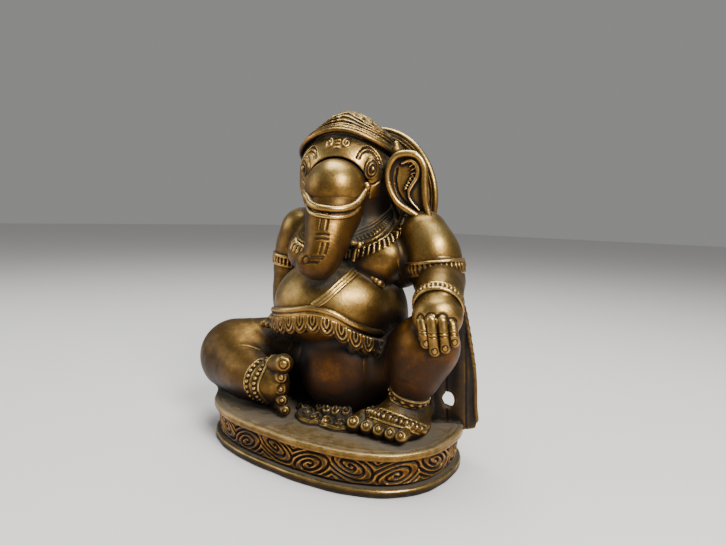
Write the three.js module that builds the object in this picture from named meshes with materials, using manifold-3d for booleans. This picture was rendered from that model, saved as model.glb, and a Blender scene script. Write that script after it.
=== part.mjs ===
// A small cast brass figure of a seated elephant-headed deity on an oval plinth, in millimetres, +Z up.
// Each node is one of the pieces that a lost-wax modeller shapes and joins.
// The figure faces -Y. Places are measured from the middle of the plinth's underside.
import * as THREE from "three";
import { mergeVertices } from "three/addons/utils/BufferGeometryUtils.js";
import Module from "manifold-3d";

const wasm = await Module();
wasm.setup();

// Driving dimensions, mm
const GAP = 0.3; // clear space between neighbouring pieces
const PLINTH_HALF_LENGTH = 28.8; // along X, at the rim
const PLINTH_HALF_WIDTH = 19.4; // along Y, at the rim
const PLINTH_HEIGHT = 8.4;
const PLINTH_SQUARENESS = 2.49; // exponent of the superellipse outline
const FLANGE_HEIGHT = 1.5;
const TOP_PLATE_THICKNESS = 1.5;
const FRIEZE_INSET = 0.9;
const FIGURE_HEIGHT = 72; // underside to the tip of the cap
const HEAD_YAW = 21; // degrees that the face turns to the figure's own left
const HALO_RADIUS = 16.3;
const HALO_THICKNESS = 2.2;
const HALO_ROLL = 0.9; // radius of the roll round the halo's edge
const HALO_BORDER = 1.3; // how far the disc stops short of that edge
const BEAD_ROLL = 0.85; // radius of the rolled bands
const FLOOR = PLINTH_HEIGHT + GAP; // lowest level of everything that stands on the plinth

// The rounded masses: middle and half sizes
const MASS = {
  head: { at: [0.9, 2.0, 58.6], half: [10.2, 10.4, 10.0] },
  snout: { at: [3.9, -6.0, 55.0], half: [6.1, 6.4, 6.1] },
  neck: { at: [0.8, 3.6, 49.5], half: [9.4, 8.2, 8] },
  chest: { at: [0.5, 4.0, 43.5], half: [13.5, 8.5, 8.2] },
  leftBreast: { at: [9.4, 0.9, 42.0], half: [6.8, 5.6, 5.2] },
  rightBreast: { at: [-7.0, 0.8, 41.6], half: [6.4, 5.6, 5.0] },
  leftArmpit: { at: [14.8, 3.0, 41.0], half: [4.4, 4.2, 4.6] },
  upperBelly: { at: [0.5, -0.6, 31.5], half: [13.4, 12.8, 9.8] },
  lowerBelly: { at: [3.2, -0.5, 19.0], half: [9.6, 9.6, 11.5] },
  seat: { at: [0, 5.5, 15.5], half: [15.5, 10.5, 9] },
};

const BRASS = { color: 0x8f7440, metalness: 1, roughness: 0.42 };
const WORN = { color: 0xb89a58, metalness: 1, roughness: 0.34 };
const DARK = { color: 0x5c4a2c, metalness: 1, roughness: 0.55 };

const vec = (p) => new THREE.Vector3(...p);
const rad = THREE.MathUtils.degToRad;

// A closed geometry as a solid that can be joined and cut.
function solidOf(geometry) {
  geometry.deleteAttribute("normal");
  geometry.deleteAttribute("uv");
  const merged = mergeVertices(geometry, 1e-4);
  return new wasm.Manifold(
    new wasm.Mesh({
      numProp: 3,
      vertProperties: merged.attributes.position.array,
      triVerts: new Uint32Array(merged.index.array),
    }),
  );
}

function turned(geometry, { yaw = 0, pitch = 0, roll = 0 } = {}) {
  geometry.applyMatrix4(
    new THREE.Matrix4().makeRotationFromEuler(new THREE.Euler(rad(pitch), rad(roll), rad(yaw), "ZYX")),
  );
  return geometry;
}

// An ellipsoid about a middle point, grown by a margin.
function ball({ at, half, turn }, grow = 0, around = 16, down = 9) {
  const g = new THREE.SphereGeometry(1, around, down);
  g.rotateX(Math.PI / 2);
  g.scale(half[0] + grow, half[1] + grow, half[2] + grow);
  turned(g, turn);
  g.translate(...at);
  return solidOf(g);
}

// A skin over rings of equally many points, closed at both ends.
function skin(rings) {
  const count = rings[0].length;
  const points = rings.flat();
  const middleOf = (ring) =>
    ring.reduce((sum, p) => sum.add(p), new THREE.Vector3()).divideScalar(count);
  points.push(middleOf(rings[0]), middleOf(rings.at(-1)));
  const index = [];
  const last = (rings.length - 1) * count;
  for (let j = 0; j < count; j++) {
    const next = (j + 1) % count;
    for (let i = 0; i < rings.length - 1; i++) {
      const a = i * count;
      const b = a + count;
      index.push(a + j, a + next, b + next, a + j, b + next, b + j);
    }
    index.push(points.length - 2, next, j, points.length - 1, last + j, last + next);
  }
  const g = new THREE.BufferGeometry().setFromPoints(points);
  g.setIndex(index);
  return solidOf(g);
}

// A rounded limb through stops { at, r } or { at, wide, thick }; `side` is the way its width lies.
function limb(stops, grow = 0, { side = [1, 0, 0], sides = 8, steps = 5, round = true } = {}) {
  const path = new THREE.CatmullRomCurve3(stops.map((s) => vec(s.at)));
  const sizeAt = (t, key) => {
    const s = t * (stops.length - 1);
    const i = Math.min(Math.floor(s), stops.length - 2);
    const from = stops[i][key] ?? stops[i].r;
    const to = stops[i + 1][key] ?? stops[i + 1].r;
    return THREE.MathUtils.lerp(from, to, s - i);
  };
  const ring = (t, shift, scale) => {
    const along = path.getTangent(t);
    const across = vec(side).addScaledVector(along, -vec(side).dot(along)).normalize();
    const up = new THREE.Vector3().crossVectors(along, across);
    const middle = path.getPoint(t).addScaledVector(along, shift);
    const wide = (sizeAt(t, "wide") + grow) * scale;
    const thick = (sizeAt(t, "thick") + grow) * scale;
    return Array.from({ length: sides }, (_, j) => {
      const a = (2 * Math.PI * j) / sides;
      return middle
        .clone()
        .addScaledVector(across, wide * Math.cos(a))
        .addScaledVector(up, thick * Math.sin(a));
    });
  };
  const bulge = (t) => Math.min(sizeAt(t, "wide"), sizeAt(t, "thick")) + grow;
  const rings = [];
  const caps = round ? [65] : [];
  for (const a of caps) rings.push(ring(0, -bulge(0) * Math.sin(rad(a)), Math.cos(rad(a))));
  for (let i = 0; i <= steps; i++) {
    const shift = round ? 0 : i === 0 ? -grow : i === steps ? grow : 0;
    rings.push(ring(i / steps, shift, 1));
  }
  for (const a of caps.toReversed()) rings.push(ring(1, bulge(1) * Math.sin(rad(a)), Math.cos(rad(a))));
  return skin(rings);
}

// A round ring lying about an axis through `at`, with an oval centre line.
function hoop({ at, half, tube, turn }, grow = 0, around = 20, sides = 5) {
  const path = Array.from({ length: around }, (_, i) => (2 * Math.PI * i) / around);
  const positions = [];
  const index = [];
  path.forEach((a, i) => {
    for (let j = 0; j < sides; j++) {
      const b = (2 * Math.PI * j) / sides;
      const out = (tube + grow) * Math.cos(b);
      const high = (tube + grow) * Math.sin(b);
      positions.push((half[0] + out) * Math.cos(a), (half[1] + out) * Math.sin(a), high);
      const [p, q] = [i * sides, ((i + 1) % around) * sides];
      const n = (j + 1) % sides;
      index.push(p + j, q + j, q + n, p + j, q + n, p + n);
    }
  });
  const g = new THREE.BufferGeometry();
  g.setAttribute("position", new THREE.Float32BufferAttribute(positions, 3));
  g.setIndex(index);
  turned(g, turn);
  g.translate(...at);
  return solidOf(g);
}

// A body of revolution about a vertical axis, from a profile of [radius, height].
function turnedBody(profile, [x, y], around = 20) {
  const g = new THREE.LatheGeometry(profile.map(([r, z]) => new THREE.Vector2(r, z)), around);
  g.rotateX(Math.PI / 2);
  g.translate(x, y, 0);
  return solidOf(g);
}

// A superellipse plate between two levels, inset from the plinth's outline.
function ovalPlate(low, high, inset, points = 44) {
  const power = 2 / PLINTH_SQUARENESS;
  const shape = new THREE.Shape(
    Array.from({ length: points }, (_, i) => {
      const a = (2 * Math.PI * i) / points;
      const bend = (v) => Math.sign(v) * Math.abs(v) ** power;
      return new THREE.Vector2(
        (PLINTH_HALF_LENGTH - inset) * bend(Math.cos(a)),
        (PLINTH_HALF_WIDTH - inset) * bend(Math.sin(a)),
      );
    }),
  );
  const g = new THREE.ExtrudeGeometry(shape, { depth: high - low, bevelEnabled: false });
  g.translate(0, 0, low);
  return solidOf(g);
}

// Everything on one side of a plane through `at`: a large block turned to face it.
function block(at, turn, size = 80) {
  const g = new THREE.BoxGeometry(size, size, size);
  g.translate(0, 0, size / 2);
  turned(g, turn);
  g.translate(...at);
  return solidOf(g);
}

// A point on a mass at a bearing from the front (degrees, positive to +X) and a level.
function onMass(name, bearing, z, proud = 0) {
  const { at, half } = MASS[name];
  const rise = THREE.MathUtils.clamp((z - at[2]) / half[2], -0.98, 0.98);
  const flat = Math.sqrt(1 - rise * rise);
  const b = rad(bearing);
  const reach = 1 / Math.hypot(Math.sin(b) / half[0], Math.cos(b) / half[1]);
  const r = reach * flat + proud;
  return [at[0] + r * Math.sin(b), at[1] - r * Math.cos(b), z];
}

const cord = (name, stops, radius, proud) =>
  stops.map(([bearing, z]) => ({ at: onMass(name, bearing, z, proud), r: radius }));

const root = new THREE.Group();
const makers = new Map(); // name -> function of a margin, used to cut later neighbours

// Adds one node: its shape less every named neighbour grown by the gap.
function add(name, finish, make, neighbours = []) {
  makers.set(name, make);
  let solid = make(0);
  for (const other of neighbours) solid = solid.subtract(makers.get(other)(GAP));
  const bodies = solid.decompose().sort((a, b) => b.volume() - a.volume());
  const mesh = bodies[0].getMesh();
  const g = new THREE.BufferGeometry();
  g.setAttribute("position", new THREE.Float32BufferAttribute(mesh.vertProperties, 3));
  g.setIndex(new THREE.BufferAttribute(mesh.triVerts, 1));
  const node = new THREE.Mesh(g, new THREE.MeshStandardMaterial(finish));
  node.name = name;
  root.add(node);
}

// Plinth
const friezeLow = FLANGE_HEIGHT + GAP;
const friezeHigh = PLINTH_HEIGHT - TOP_PLATE_THICKNESS - GAP;
add("base_flange", BRASS, () => ovalPlate(0, FLANGE_HEIGHT, 0.3));
add("base_frieze", BRASS, () => ovalPlate(friezeLow, friezeHigh, FRIEZE_INSET));
add("base_top_plate", DARK, (m) => ovalPlate(friezeHigh + GAP - m, PLINTH_HEIGHT + m, 0));

// Trunk of the body
add("upper_belly", WORN, (m) => ball(MASS.upperBelly, m));
add("lower_belly", DARK, (m) => ball(MASS.lowerBelly, m), ["base_top_plate", "upper_belly"]);

// Head and what it carries
const EYE_SPREAD = 41;
const EYE_LEVEL = 59.4;
const eye = (bearing) => ({
  at: onMass("head", HEAD_YAW + bearing, EYE_LEVEL),
  half: [2.4, 1.3, 2.2],
  turn: { yaw: HEAD_YAW + bearing },
});
add("snout_dome", WORN, (m) => ball(MASS.snout, m));
add("left_eye", BRASS, (m) => ball(eye(EYE_SPREAD), m, 8, 6), ["snout_dome"]);
add("right_eye", BRASS, (m) => ball(eye(-EYE_SPREAD), m, 8, 6), ["snout_dome"]);
const haloAt = [1.8, 10.2, 53.4];
const CLEAR_OF_HALO = 0.4; // from the halo's front face to the back of the head, cap, neck and chest
const haloFront = haloAt[1] - HALO_THICKNESS / 2 - CLEAR_OF_HALO;
const beforeHalo = (m) => block([0, haloFront + m, haloAt[2]], { pitch: 90 });
add("head", BRASS, (m) => ball(MASS.head, m, 18, 10).intersect(beforeHalo(m)),
  ["snout_dome", "left_eye", "right_eye"]);
const torsoMasses = [MASS.chest, MASS.leftBreast, MASS.rightBreast, MASS.leftArmpit];
const chest = (m) =>
  torsoMasses.map((mass) => ball(mass, m)).reduce((whole, mass) => whole.add(mass)).intersect(beforeHalo(m));
add("chest", BRASS, chest, ["upper_belly", "head", "snout_dome"]);
add("neck", DARK, (m) => ball(MASS.neck, m).intersect(beforeHalo(m)), ["head", "chest", "snout_dome"]);

const capAxis = [MASS.head.at[0], MASS.head.at[1] + 0.3];
const capProfile = [
  [0, 50], [11.2, 50], [11.2, 58], [10.5, 63.5], [9.2, 66],
  [5.1, 69.5], [2.9, 71.1], [0, FIGURE_HEIGHT],
];
const CAP_TILT = 30;
const RIM_WIDTH = 1.7;
const rimMiddle = [MASS.head.at[0], MASS.head.at[1] + 0.3, 61.2];
const aboveRim = (raise) => block([rimMiddle[0], rimMiddle[1], rimMiddle[2] + raise], { pitch: -CAP_TILT });
const capBody = (m) =>
  turnedBody(capProfile.map(([r, z]) => [r && r + m, z + (r ? 0 : m)]), capAxis).intersect(beforeHalo(m));
add("crown_cap", BRASS, (m) => capBody(m).intersect(aboveRim(RIM_WIDTH + GAP - m)), ["head"]);
const crownRim = (m) =>
  capBody(BEAD_ROLL + m).intersect(aboveRim(-m)).subtract(aboveRim(RIM_WIDTH + m));
add("crown_rim", WORN, crownRim,
  ["head", "crown_cap"]);
add("crown_side_bud", WORN, (m) =>
  ball({ at: [11.6, 3.4, 62.6], half: [1.6, 1.6, 1.7] }, m, 10, 8), ["head", "crown_cap", "crown_rim"]);

const trunkStops = [
  { at: [4.2, -6.8, 51.4], r: 5.8 },
  { at: [5.0, -9.2, 47.5], r: 4.8 },
  { at: [5.7, -11.3, 43.6], r: 4.0 },
  { at: [5.3, -12.5, 41.2], r: 3.5 },
  { at: [3.9, -13.2, 40.9], r: 2.9 },
];
const lipStops = [
  [-1.6, -8.3, 55.4], [-0.4, -11.0, 54.2], [1.6, -12.4, 53.0], [3.4, -12.8, 51.9], [5.7, -12.5, 51.1],
  [8.1, -11.0, 50.9], [9.4, -8.2, 51.8], [10.0, -6.0, 53.4], [9.9, -4.5, 55.2],
];
add("mouth_band", WORN, (m) =>
  limb(lipStops.map((at) => ({ at, r: BEAD_ROLL })), m, { side: [0, 0, 1], sides: 6, steps: 12 }),
  ["snout_dome", "head"]);
add("trunk", WORN, (m) => limb(trunkStops, m, { sides: 10, steps: 7 }),
  ["snout_dome", "mouth_band", "head", "neck", "upper_belly", "chest"]);

// The left ear stands out from the head and the right one lies back along it
const leftEarStops = [
  { at: [15.2, 1.6, 61.6], wide: 1.8, thick: 0.9 },
  { at: [15.2, 1.5, 58.4], wide: 3.9, thick: 1.1 },
  { at: [16.0, 1.9, 54.4], wide: 3.5, thick: 1.1 },
  { at: [18.9, 3.2, 50.2], wide: 0.9, thick: 0.8 },
];
const rightEarStops = [
  { at: [-10.9, 3.5, 61.6], wide: 1.8, thick: 0.9 },
  { at: [-11.3, 3.6, 58.4], wide: 3.9, thick: 1.1 },
  { at: [-11.2, 3.8, 54.4], wide: 3.5, thick: 1.1 },
  { at: [-11.6, 7.2, 50.6], wide: 0.9, thick: 0.8 },
];
const leftEar = (m) => limb(leftEarStops, m, { side: [0.9, 0.43, 0] });
const rightEar = (m) => limb(rightEarStops, m, { side: [-0.25, 0.97, 0] });
add("left_ear", WORN, leftEar, ["head", "crown_rim", "crown_cap", "neck"]);
add("right_ear", WORN, rightEar, ["head", "crown_rim", "crown_cap", "neck"]);

const haloDisc = (m) => {
  const radius = HALO_RADIUS - HALO_BORDER + m;
  const g = new THREE.CylinderGeometry(radius, radius, HALO_THICKNESS + 2 * m, 24);
  g.translate(...haloAt);
  return solidOf(g);
};
add("halo_disc", BRASS, haloDisc,
  ["head", "crown_rim", "crown_cap", "neck", "chest", "left_ear", "right_ear"]);
add("halo_rim", WORN, (m) => hoop(
  { at: haloAt, half: [HALO_RADIUS - HALO_ROLL, HALO_RADIUS - HALO_ROLL], tube: HALO_ROLL,
    turn: { pitch: 90 } }, m, 24, 4),
  ["halo_disc", "neck", "chest", "left_ear", "right_ear"]);

// Arms
const ARM = {
  left_upper_arm: [
    { at: [17.9, 4.9, 46.6], r: 5.1 },
    { at: [20.4, 4.5, 43.2], r: 5.5 },
    { at: [22.0, 4.4, 38.6], r: 5.1 },
  ],
  left_forearm: [
    { at: [22.9, 4.0, 36.0], r: 4.8 },
    { at: [24.8, -0.6, 36.2], r: 4.5 },
    { at: [26.2, -3.6, 34.8], r: 4.1 },
  ],
  right_upper_arm: [
    { at: [-13.4, 4.6, 46.4], r: 5.5 },
    { at: [-15.4, 4.8, 42.6], r: 5.3 },
    { at: [-16.7, 4.9, 38.0], r: 4.8 },
  ],
  right_forearm: [
    { at: [-17.2, 4.4, 35.0], r: 4.3 },
    { at: [-16.8, 3.4, 30.8], r: 3.8 },
    { at: [-15.2, 1.6, 27.8], r: 3.3 },
  ],
};
const arm = (name) => (m) => limb(ARM[name], m, { side: [1, 0.2, 0] });
const bodyMasses = ["upper_belly", "chest", "neck"];
add("left_upper_arm", WORN, arm("left_upper_arm"), [...bodyMasses, "halo_disc", "halo_rim", "left_ear"]);
add("right_upper_arm", BRASS, arm("right_upper_arm"), [...bodyMasses, "halo_disc", "halo_rim", "right_ear"]);
const band = (at, half, turn, tube = 1.1) => (m) => hoop({ at, half, tube, turn }, m, 16);
add("left_armlet", WORN, band([21.4, 4.4, 40.3], [5.4, 5.4], { roll: -8 }),
  [...bodyMasses, "left_upper_arm"]);
add("right_armlet", WORN, band([-16.2, 4.9, 39.2], [4.9, 4.9], { roll: 8 }),
  [...bodyMasses, "right_upper_arm"]);
add("left_forearm", DARK, arm("left_forearm"), [...bodyMasses, "left_upper_arm", "left_armlet"]);
add("right_forearm", DARK, arm("right_forearm"), [...bodyMasses, "right_upper_arm", "right_armlet"]);
add("left_bracelet", WORN, band([26.0, -3.2, 34.7], [4.5, 4.5], { yaw: 24, pitch: 118 }, 0.9),
  ["left_forearm", "upper_belly"]);

// The left hand hangs over the raised knee; the right one rests on the folded thigh
const HAND_ACROSS = [0.85, 0.52, 0];
const leftPalm = [
  { at: [26.9, -5.2, 33.6], wide: 4.4, thick: 3.0 },
  { at: [27.7, -7.0, 31.4], wide: 4.4, thick: 2.2 },
];
add("left_hand", WORN, (m) => limb(leftPalm, m, { side: HAND_ACROSS, steps: 4 }),
  ["left_forearm", "left_bracelet"]);
const FINGER_RADIUS = 0.95;
const FINGERS = {
  index: { knuckle: [26.1, -9.3, 31.7], tip: [27.1, -9.4, 28.3] },
  middle: { knuckle: [27.9, -9.3, 32.0], tip: [28.6, -9.0, 27.1] },
  ring: { knuckle: [29.5, -8.4, 31.9], tip: [30.1, -8.1, 27.7] },
  little: { knuckle: [31.0, -7.2, 31.4], tip: [31.6, -7.0, 28.8] },
};
const handPieces = ["left_hand"];
for (const [name, { knuckle, tip }] of Object.entries(FINGERS)) {
  const stops = [knuckle, tip].map((at) => ({ at, r: FINGER_RADIUS }));
  add("left_" + name + "_finger", WORN, (m) => limb(stops, m, { sides: 6, steps: 1 }), [...handPieces]);
  handPieces.push("left_" + name + "_finger");
}
const thumbStops = [{ at: [25.1, -6.0, 31.8], r: 1.2 }, { at: [25.9, -8.0, 28.8], r: 1.0 }];
add("left_thumb", WORN, (m) => limb(thumbStops, m, { sides: 6, steps: 1 }), [...handPieces]);
handPieces.push("left_thumb", "left_bracelet");

// Legs
const LEG = {
  left_thigh: [
    { at: [10.5, 4.5, 16.5], r: 7.2 },
    { at: [17.5, 2.0, 22.0], r: 6.6 },
    { at: [23.6, -2.0, 26.4], r: 6.0 },
  ],
  left_shin: [
    { at: [24.4, -3.9, 26.0], r: 5.2 },
    { at: [22.2, -3.4, 20.6], r: 4.5 },
    { at: [20.0, -2.2, 16.0], r: 3.5 },
  ],
  right_thigh: [
    { at: [-9.5, 5.0, 17.2], r: 8.2 },
    { at: [-18.5, 0.8, 17.2], r: 8.3 },
    { at: [-26.3, -4.2, 16.8], r: 8.1 },
  ],
  right_shin: [
    { at: [-24.0, -7.2, 15.2], r: 6.4 },
    { at: [-16.0, -9.6, 14.8], r: 5.5 },
    { at: [-9.0, -11.4, 14.6], r: 4.2 },
  ],
};
const leg = (name) => (m) => limb(LEG[name], m, { side: [0.2, 1, 0.3] });
const lap = ["base_top_plate", "upper_belly", "lower_belly"];
add("left_shin", BRASS, leg("left_shin"), [...lap, ...handPieces]);
add("left_thigh", BRASS, leg("left_thigh"), [...lap, ...handPieces, "left_shin", "left_forearm"]);
add("right_thigh", BRASS, leg("right_thigh"), [...lap, "right_forearm"]);
add("right_hand", BRASS, (m) => limb(
  [{ at: [-14.2, 0.4, 27.0], wide: 2.8, thick: 1.7 }, { at: [-13.6, -3.2, 26.0], wide: 2.8, thick: 1.5 }],
  m, { side: [1, 0, 0], steps: 4 }), ["right_forearm", "right_thigh", "upper_belly"]);
add("right_shin", BRASS, leg("right_shin"), [...lap, "right_thigh", "right_hand"]);

const soleCut = (m) => block([0, 0, FLOOR - m], {});
// Left toes, big toe first: the middle of each, its root's radius and its tip's
const LEFT_TOES = [
  { x: 12.4, root: 1.7, tip: 1.55 },
  { x: 15.6, root: 1.6, tip: 1.45 },
  { x: 18.6, root: 1.5, tip: 1.35 },
  { x: 21.4, root: 1.4, tip: 1.25 },
  { x: 23.9, root: 1.3, tip: 1.15 },
];
const leftFoot = (m) => {
  let foot = limb([
    { at: [19.4, 1.6, 11.2], wide: 3.4, thick: 3.2 },
    { at: [19.0, -2.6, 12.4], wide: 4.4, thick: 3.6 },
    { at: [18.4, -7.6, 10.4], wide: 6.4, thick: 1.8 },
  ], m);
  for (const { x, root: wide, tip } of LEFT_TOES) {
    const stops = [{ at: [x, -7.2, 10.4], r: wide }, { at: [x, -10.0, 10.1], r: tip }];
    foot = foot.add(limb(stops, m, { sides: 6, steps: 1 }));
  }
  return foot.intersect(soleCut(m));
};
add("left_foot", WORN, leftFoot, ["left_shin", "lower_belly", "left_thigh"]);
add("left_anklet", WORN, band([20.3, -2.4, 16.4], [3.9, 3.9], { yaw: -15, pitch: 20 }, 1.0),
  ["left_shin", "left_foot", "left_thigh", "lower_belly", "upper_belly"]);
const instepStops = [
  [25.2, -5.0, 10.6], [23.8, -6.9, 11.8], [21.6, -8.0, 12.4], [19.0, -8.4, 12.8], [16.6, -8.0, 12.6],
  [14.4, -7.0, 11.8], [13.2, -5.8, 10.6],
].map((at) => ({ at, r: 1.1 }));
add("left_instep_band", WORN, (m) => limb(instepStops, m, { side: [0, 1, 0], sides: 6, steps: 10 }),
  ["left_foot", "left_anklet", "left_shin", "lower_belly"]);

const RIGHT_TOES = [
  { at: [-3.2, -12.7, 19.9], r: 1.9 },
  { at: [-4.0, -12.5, 16.9], r: 1.5 },
  { at: [-4.2, -12.4, 14.3], r: 1.4 },
  { at: [-3.9, -12.3, 12.0], r: 1.3 },
  { at: [-3.0, -12.3, 10.2], r: 1.1 },
];
const rightFoot = (m) => {
  const upright = { side: [0, 0, 1] };
  let foot = limb([
    { at: [-10.2, -10.9, 14.4], wide: 3.9, thick: 2.5 },
    { at: [-8.6, -11.1, 14.6], wide: 4.4, thick: 2.7 },
    { at: [-7.0, -11.4, 14.9], wide: 4.7, thick: 2.4 },
  ], m, upright);
  for (const toe of RIGHT_TOES) {
    const heel = { at: [toe.at[0] - 3.4, toe.at[1] + 1.2, 3.7 + 0.75 * toe.at[2]], r: toe.r };
    foot = foot.add(limb([heel, toe], m, { ...upright, sides: 6, steps: 1 }));
  }
  return foot.intersect(soleCut(m));
};
add("right_foot", WORN, rightFoot, ["right_shin", "lower_belly", "upper_belly", "left_foot"]);
add("right_anklet", WORN, band([-9.8, -11.0, 14.6], [4.7, 4.7], { yaw: -14, roll: 90 }, 0.9),
  ["right_shin", "right_foot", "base_top_plate", "lower_belly", "upper_belly"]);
add("seat", DARK, (m) => ball(MASS.seat, m),
  [...lap, "left_thigh", "right_thigh", "left_shin", "right_shin"]);

// Dress and ornaments
const BELT_LEAN = { roll: 10, pitch: 4 };
const beltSlab = (m) => block([0, 0, 26.0 - m], BELT_LEAN).subtract(block([0, 0, 30.6 + m], BELT_LEAN));
const limbs = ["left_upper_arm", "left_forearm", "left_thigh", "left_shin", "right_forearm", "right_hand",
  "right_thigh", "right_shin", "left_bracelet"];
const FRINGE_STANDS_OUT = 1.2;
const fringeHalf = MASS.upperBelly.half.map((h) => h + FRINGE_STANDS_OUT);
add("belt_fringe", BRASS, (m) =>
  ball({ at: MASS.upperBelly.at, half: fringeHalf }, m, 16, 9).intersect(beltSlab(m)),
  ["upper_belly", "lower_belly", "seat", "left_foot", "right_foot", "left_anklet", ...limbs]);
const beltPath = [[-95, 31], [-46, 31.2], [0, 32.2], [16, 33], [35, 32], [52, 30], [75, 28], [108, 27]];
const threadPath = [[58, 38.6], [42, 36.9], [33, 35.3], [25, 34.2]];
const strapPath = [[72, 38.6], [77, 37.6], [82, 36.4]];
const onBelly = (path, radius, proud, steps) => (m) =>
  limb(cord("upperBelly", path, radius, proud), m, { side: [0, 0, 1], sides: 5, steps });
add("belt_roll", WORN, onBelly(beltPath, 0.9, 0.35, 14), ["upper_belly", "belt_fringe", "chest", ...limbs]);
add("sacred_thread", WORN, onBelly(threadPath, 0.8, 0.25, 6), ["upper_belly", "chest", "trunk", "belt_roll"]);
add("beaded_strap", WORN, onBelly(strapPath, 0.8, 0.25, 4),
  ["upper_belly", "chest", "trunk", "belt_roll", "sacred_thread"]);
add("necklace_collar", DARK, (m) =>
  hoop({ at: [0.8, 3.6, 48.4], half: [9.6, 7.8], tube: 1.7, turn: { pitch: 16 } }, m),
  ["neck", "chest", "head", "trunk", "mouth_band", "snout_dome", "left_upper_arm", "right_upper_arm",
    "halo_disc", "halo_rim", "left_ear", "right_ear"]);
add("necklace_bars", WORN, (m) =>
  hoop({ at: [0.9, 3.9, 46.6], half: [12.4, 8.3], tube: 1.1, turn: { pitch: 18 } }, m),
  ["chest", "neck", "trunk", "necklace_collar", "left_upper_arm", "right_upper_arm", "halo_disc", "halo_rim",
    "upper_belly"]);
add("pendant_bow", WORN, (m) =>
  ball({ at: [8.7, -5.2, 44.2], half: [1.9, 1.3, 1.4], turn: { yaw: 50 } }, m, 10, 8),
  ["chest", "necklace_bars", "trunk", "necklace_collar", "upper_belly"]);

add("shawl_drape", BRASS, (m) =>
  limb([
    { at: [25.0, 4.6, 32.6], wide: 2.2, thick: 1.0 },
    { at: [25.8, 5.6, 26.0], wide: 2.6, thick: 0.9 },
    { at: [25.7, 6.8, 18.0], wide: 3.8, thick: 0.9 },
    { at: [25.0, 7.8, 11.0], wide: 4.6, thick: 0.9 },
    { at: [24.8, 8.0, 9.0], wide: 4.8, thick: 0.9 },
  ], m, { side: [0.82, 0.57, 0], steps: 6, round: false }).intersect(soleCut(m)),
  ["left_forearm", "left_thigh", "left_shin", "left_upper_arm", "left_armlet"]);

const FAN_AT = [4.6, -1.6];
const FAN_RADIUS = 9.6;
const FAN_SCALLOPS = 7;
const FAN_FROM = -168; // degrees round the fan's own middle
const FAN_TO = -48;
add("cloth_fan", DARK, (m) => {
  const shape = new THREE.Shape();
  const steps = FAN_SCALLOPS * 4;
  for (let i = 0; i <= steps; i++) {
    const a = rad(THREE.MathUtils.lerp(FAN_FROM, FAN_TO, i / steps));
    const r = FAN_RADIUS + m + 0.5 * Math.abs(Math.sin((Math.PI * FAN_SCALLOPS * i) / steps));
    shape[i ? "lineTo" : "moveTo"](r * Math.cos(a), r * Math.sin(a));
  }
  shape.lineTo(2, 2);
  shape.lineTo(-2, 2);
  const g = new THREE.ExtrudeGeometry(shape, { depth: 1.6 + m, bevelEnabled: false });
  g.translate(...FAN_AT, FLOOR);
  return solidOf(g);
}, ["lower_belly", "left_foot", "right_foot", "left_shin", "right_shin", "right_anklet", "left_instep_band",
  "right_thigh", "left_thigh", "seat"]);

// The part's origin is the middle of its lowest face's box
root.updateMatrixWorld(true);
const middle = new THREE.Box3().setFromObject(root).getCenter(new THREE.Vector3());
for (const node of root.children) node.geometry.translate(-middle.x, -middle.y, 0);

export default root;
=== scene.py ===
"""A small cast brass figure of a seated elephant-headed deity on an oval plinth.

Every piece is sculpted as a field of distances on a grid ("clay"), turned into a mesh, and
stands for one CAD node. Lengths in the sculpting code are millimetres from the middle of the
plinth's underside, which the frame gives; the figure faces -Y.
"""
import functools
import itertools
import math

import bpy
import numpy as np
from mathutils import Matrix, Vector


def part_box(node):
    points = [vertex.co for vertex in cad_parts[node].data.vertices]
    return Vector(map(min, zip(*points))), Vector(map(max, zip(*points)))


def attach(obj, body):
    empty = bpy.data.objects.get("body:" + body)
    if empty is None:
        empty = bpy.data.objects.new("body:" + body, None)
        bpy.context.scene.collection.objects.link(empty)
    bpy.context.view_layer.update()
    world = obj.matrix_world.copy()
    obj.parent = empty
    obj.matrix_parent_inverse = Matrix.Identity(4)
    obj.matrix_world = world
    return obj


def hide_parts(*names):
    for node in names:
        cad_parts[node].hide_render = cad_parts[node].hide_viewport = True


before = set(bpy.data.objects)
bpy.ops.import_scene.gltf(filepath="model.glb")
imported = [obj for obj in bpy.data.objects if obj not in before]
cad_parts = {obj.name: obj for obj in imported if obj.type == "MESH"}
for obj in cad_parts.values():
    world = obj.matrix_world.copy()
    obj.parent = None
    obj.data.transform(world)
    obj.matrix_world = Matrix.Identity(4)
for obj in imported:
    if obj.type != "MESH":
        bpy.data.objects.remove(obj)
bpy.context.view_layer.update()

# ---------------------------------------------------------------- driving sizes
MM = 0.001
plate_low, plate_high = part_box("base_top_plate")
MIDDLE = np.array([(plate_low[0] + plate_high[0]) / 2, (plate_low[1] + plate_high[1]) / 2, 0.0])
HALF_LENGTH = (plate_high[0] - plate_low[0]) / 2 / MM
HALF_WIDTH = (plate_high[1] - plate_low[1]) / 2 / MM
PLINTH_TOP = plate_high[2] / MM
PLATE_LOW = plate_low[2] / MM
FLANGE_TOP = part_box("base_flange")[1][2] / MM
FIGURE_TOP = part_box("crown_cap")[1][2] / MM
halo_low, halo_high = np.array(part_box("halo_rim"))
HALO_AT = ((halo_low + halo_high) / 2 - MIDDLE) / MM
HALO_RADIUS = (halo_high[2] - halo_low[2]) / 2 / MM
SQUARENESS = 2.49  # power of the plinth's outline: 2 is an ellipse
HEAD_YAW = 21.0  # degrees the face is turned towards +X
COARSE = 1.0
STEP = 0.26 * COARSE  # grid spacing of the broad masses
FINE = 0.17 * COARSE  # grid spacing of the ornaments
SKIN = 0.03  # how far a blended piece dips under its neighbour at the end of the blend
SUNK = 0.25  # how far what stands on the plinth goes down into it
FAR = 6.0  # distance given to whatever lies too far from a surface to matter


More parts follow.
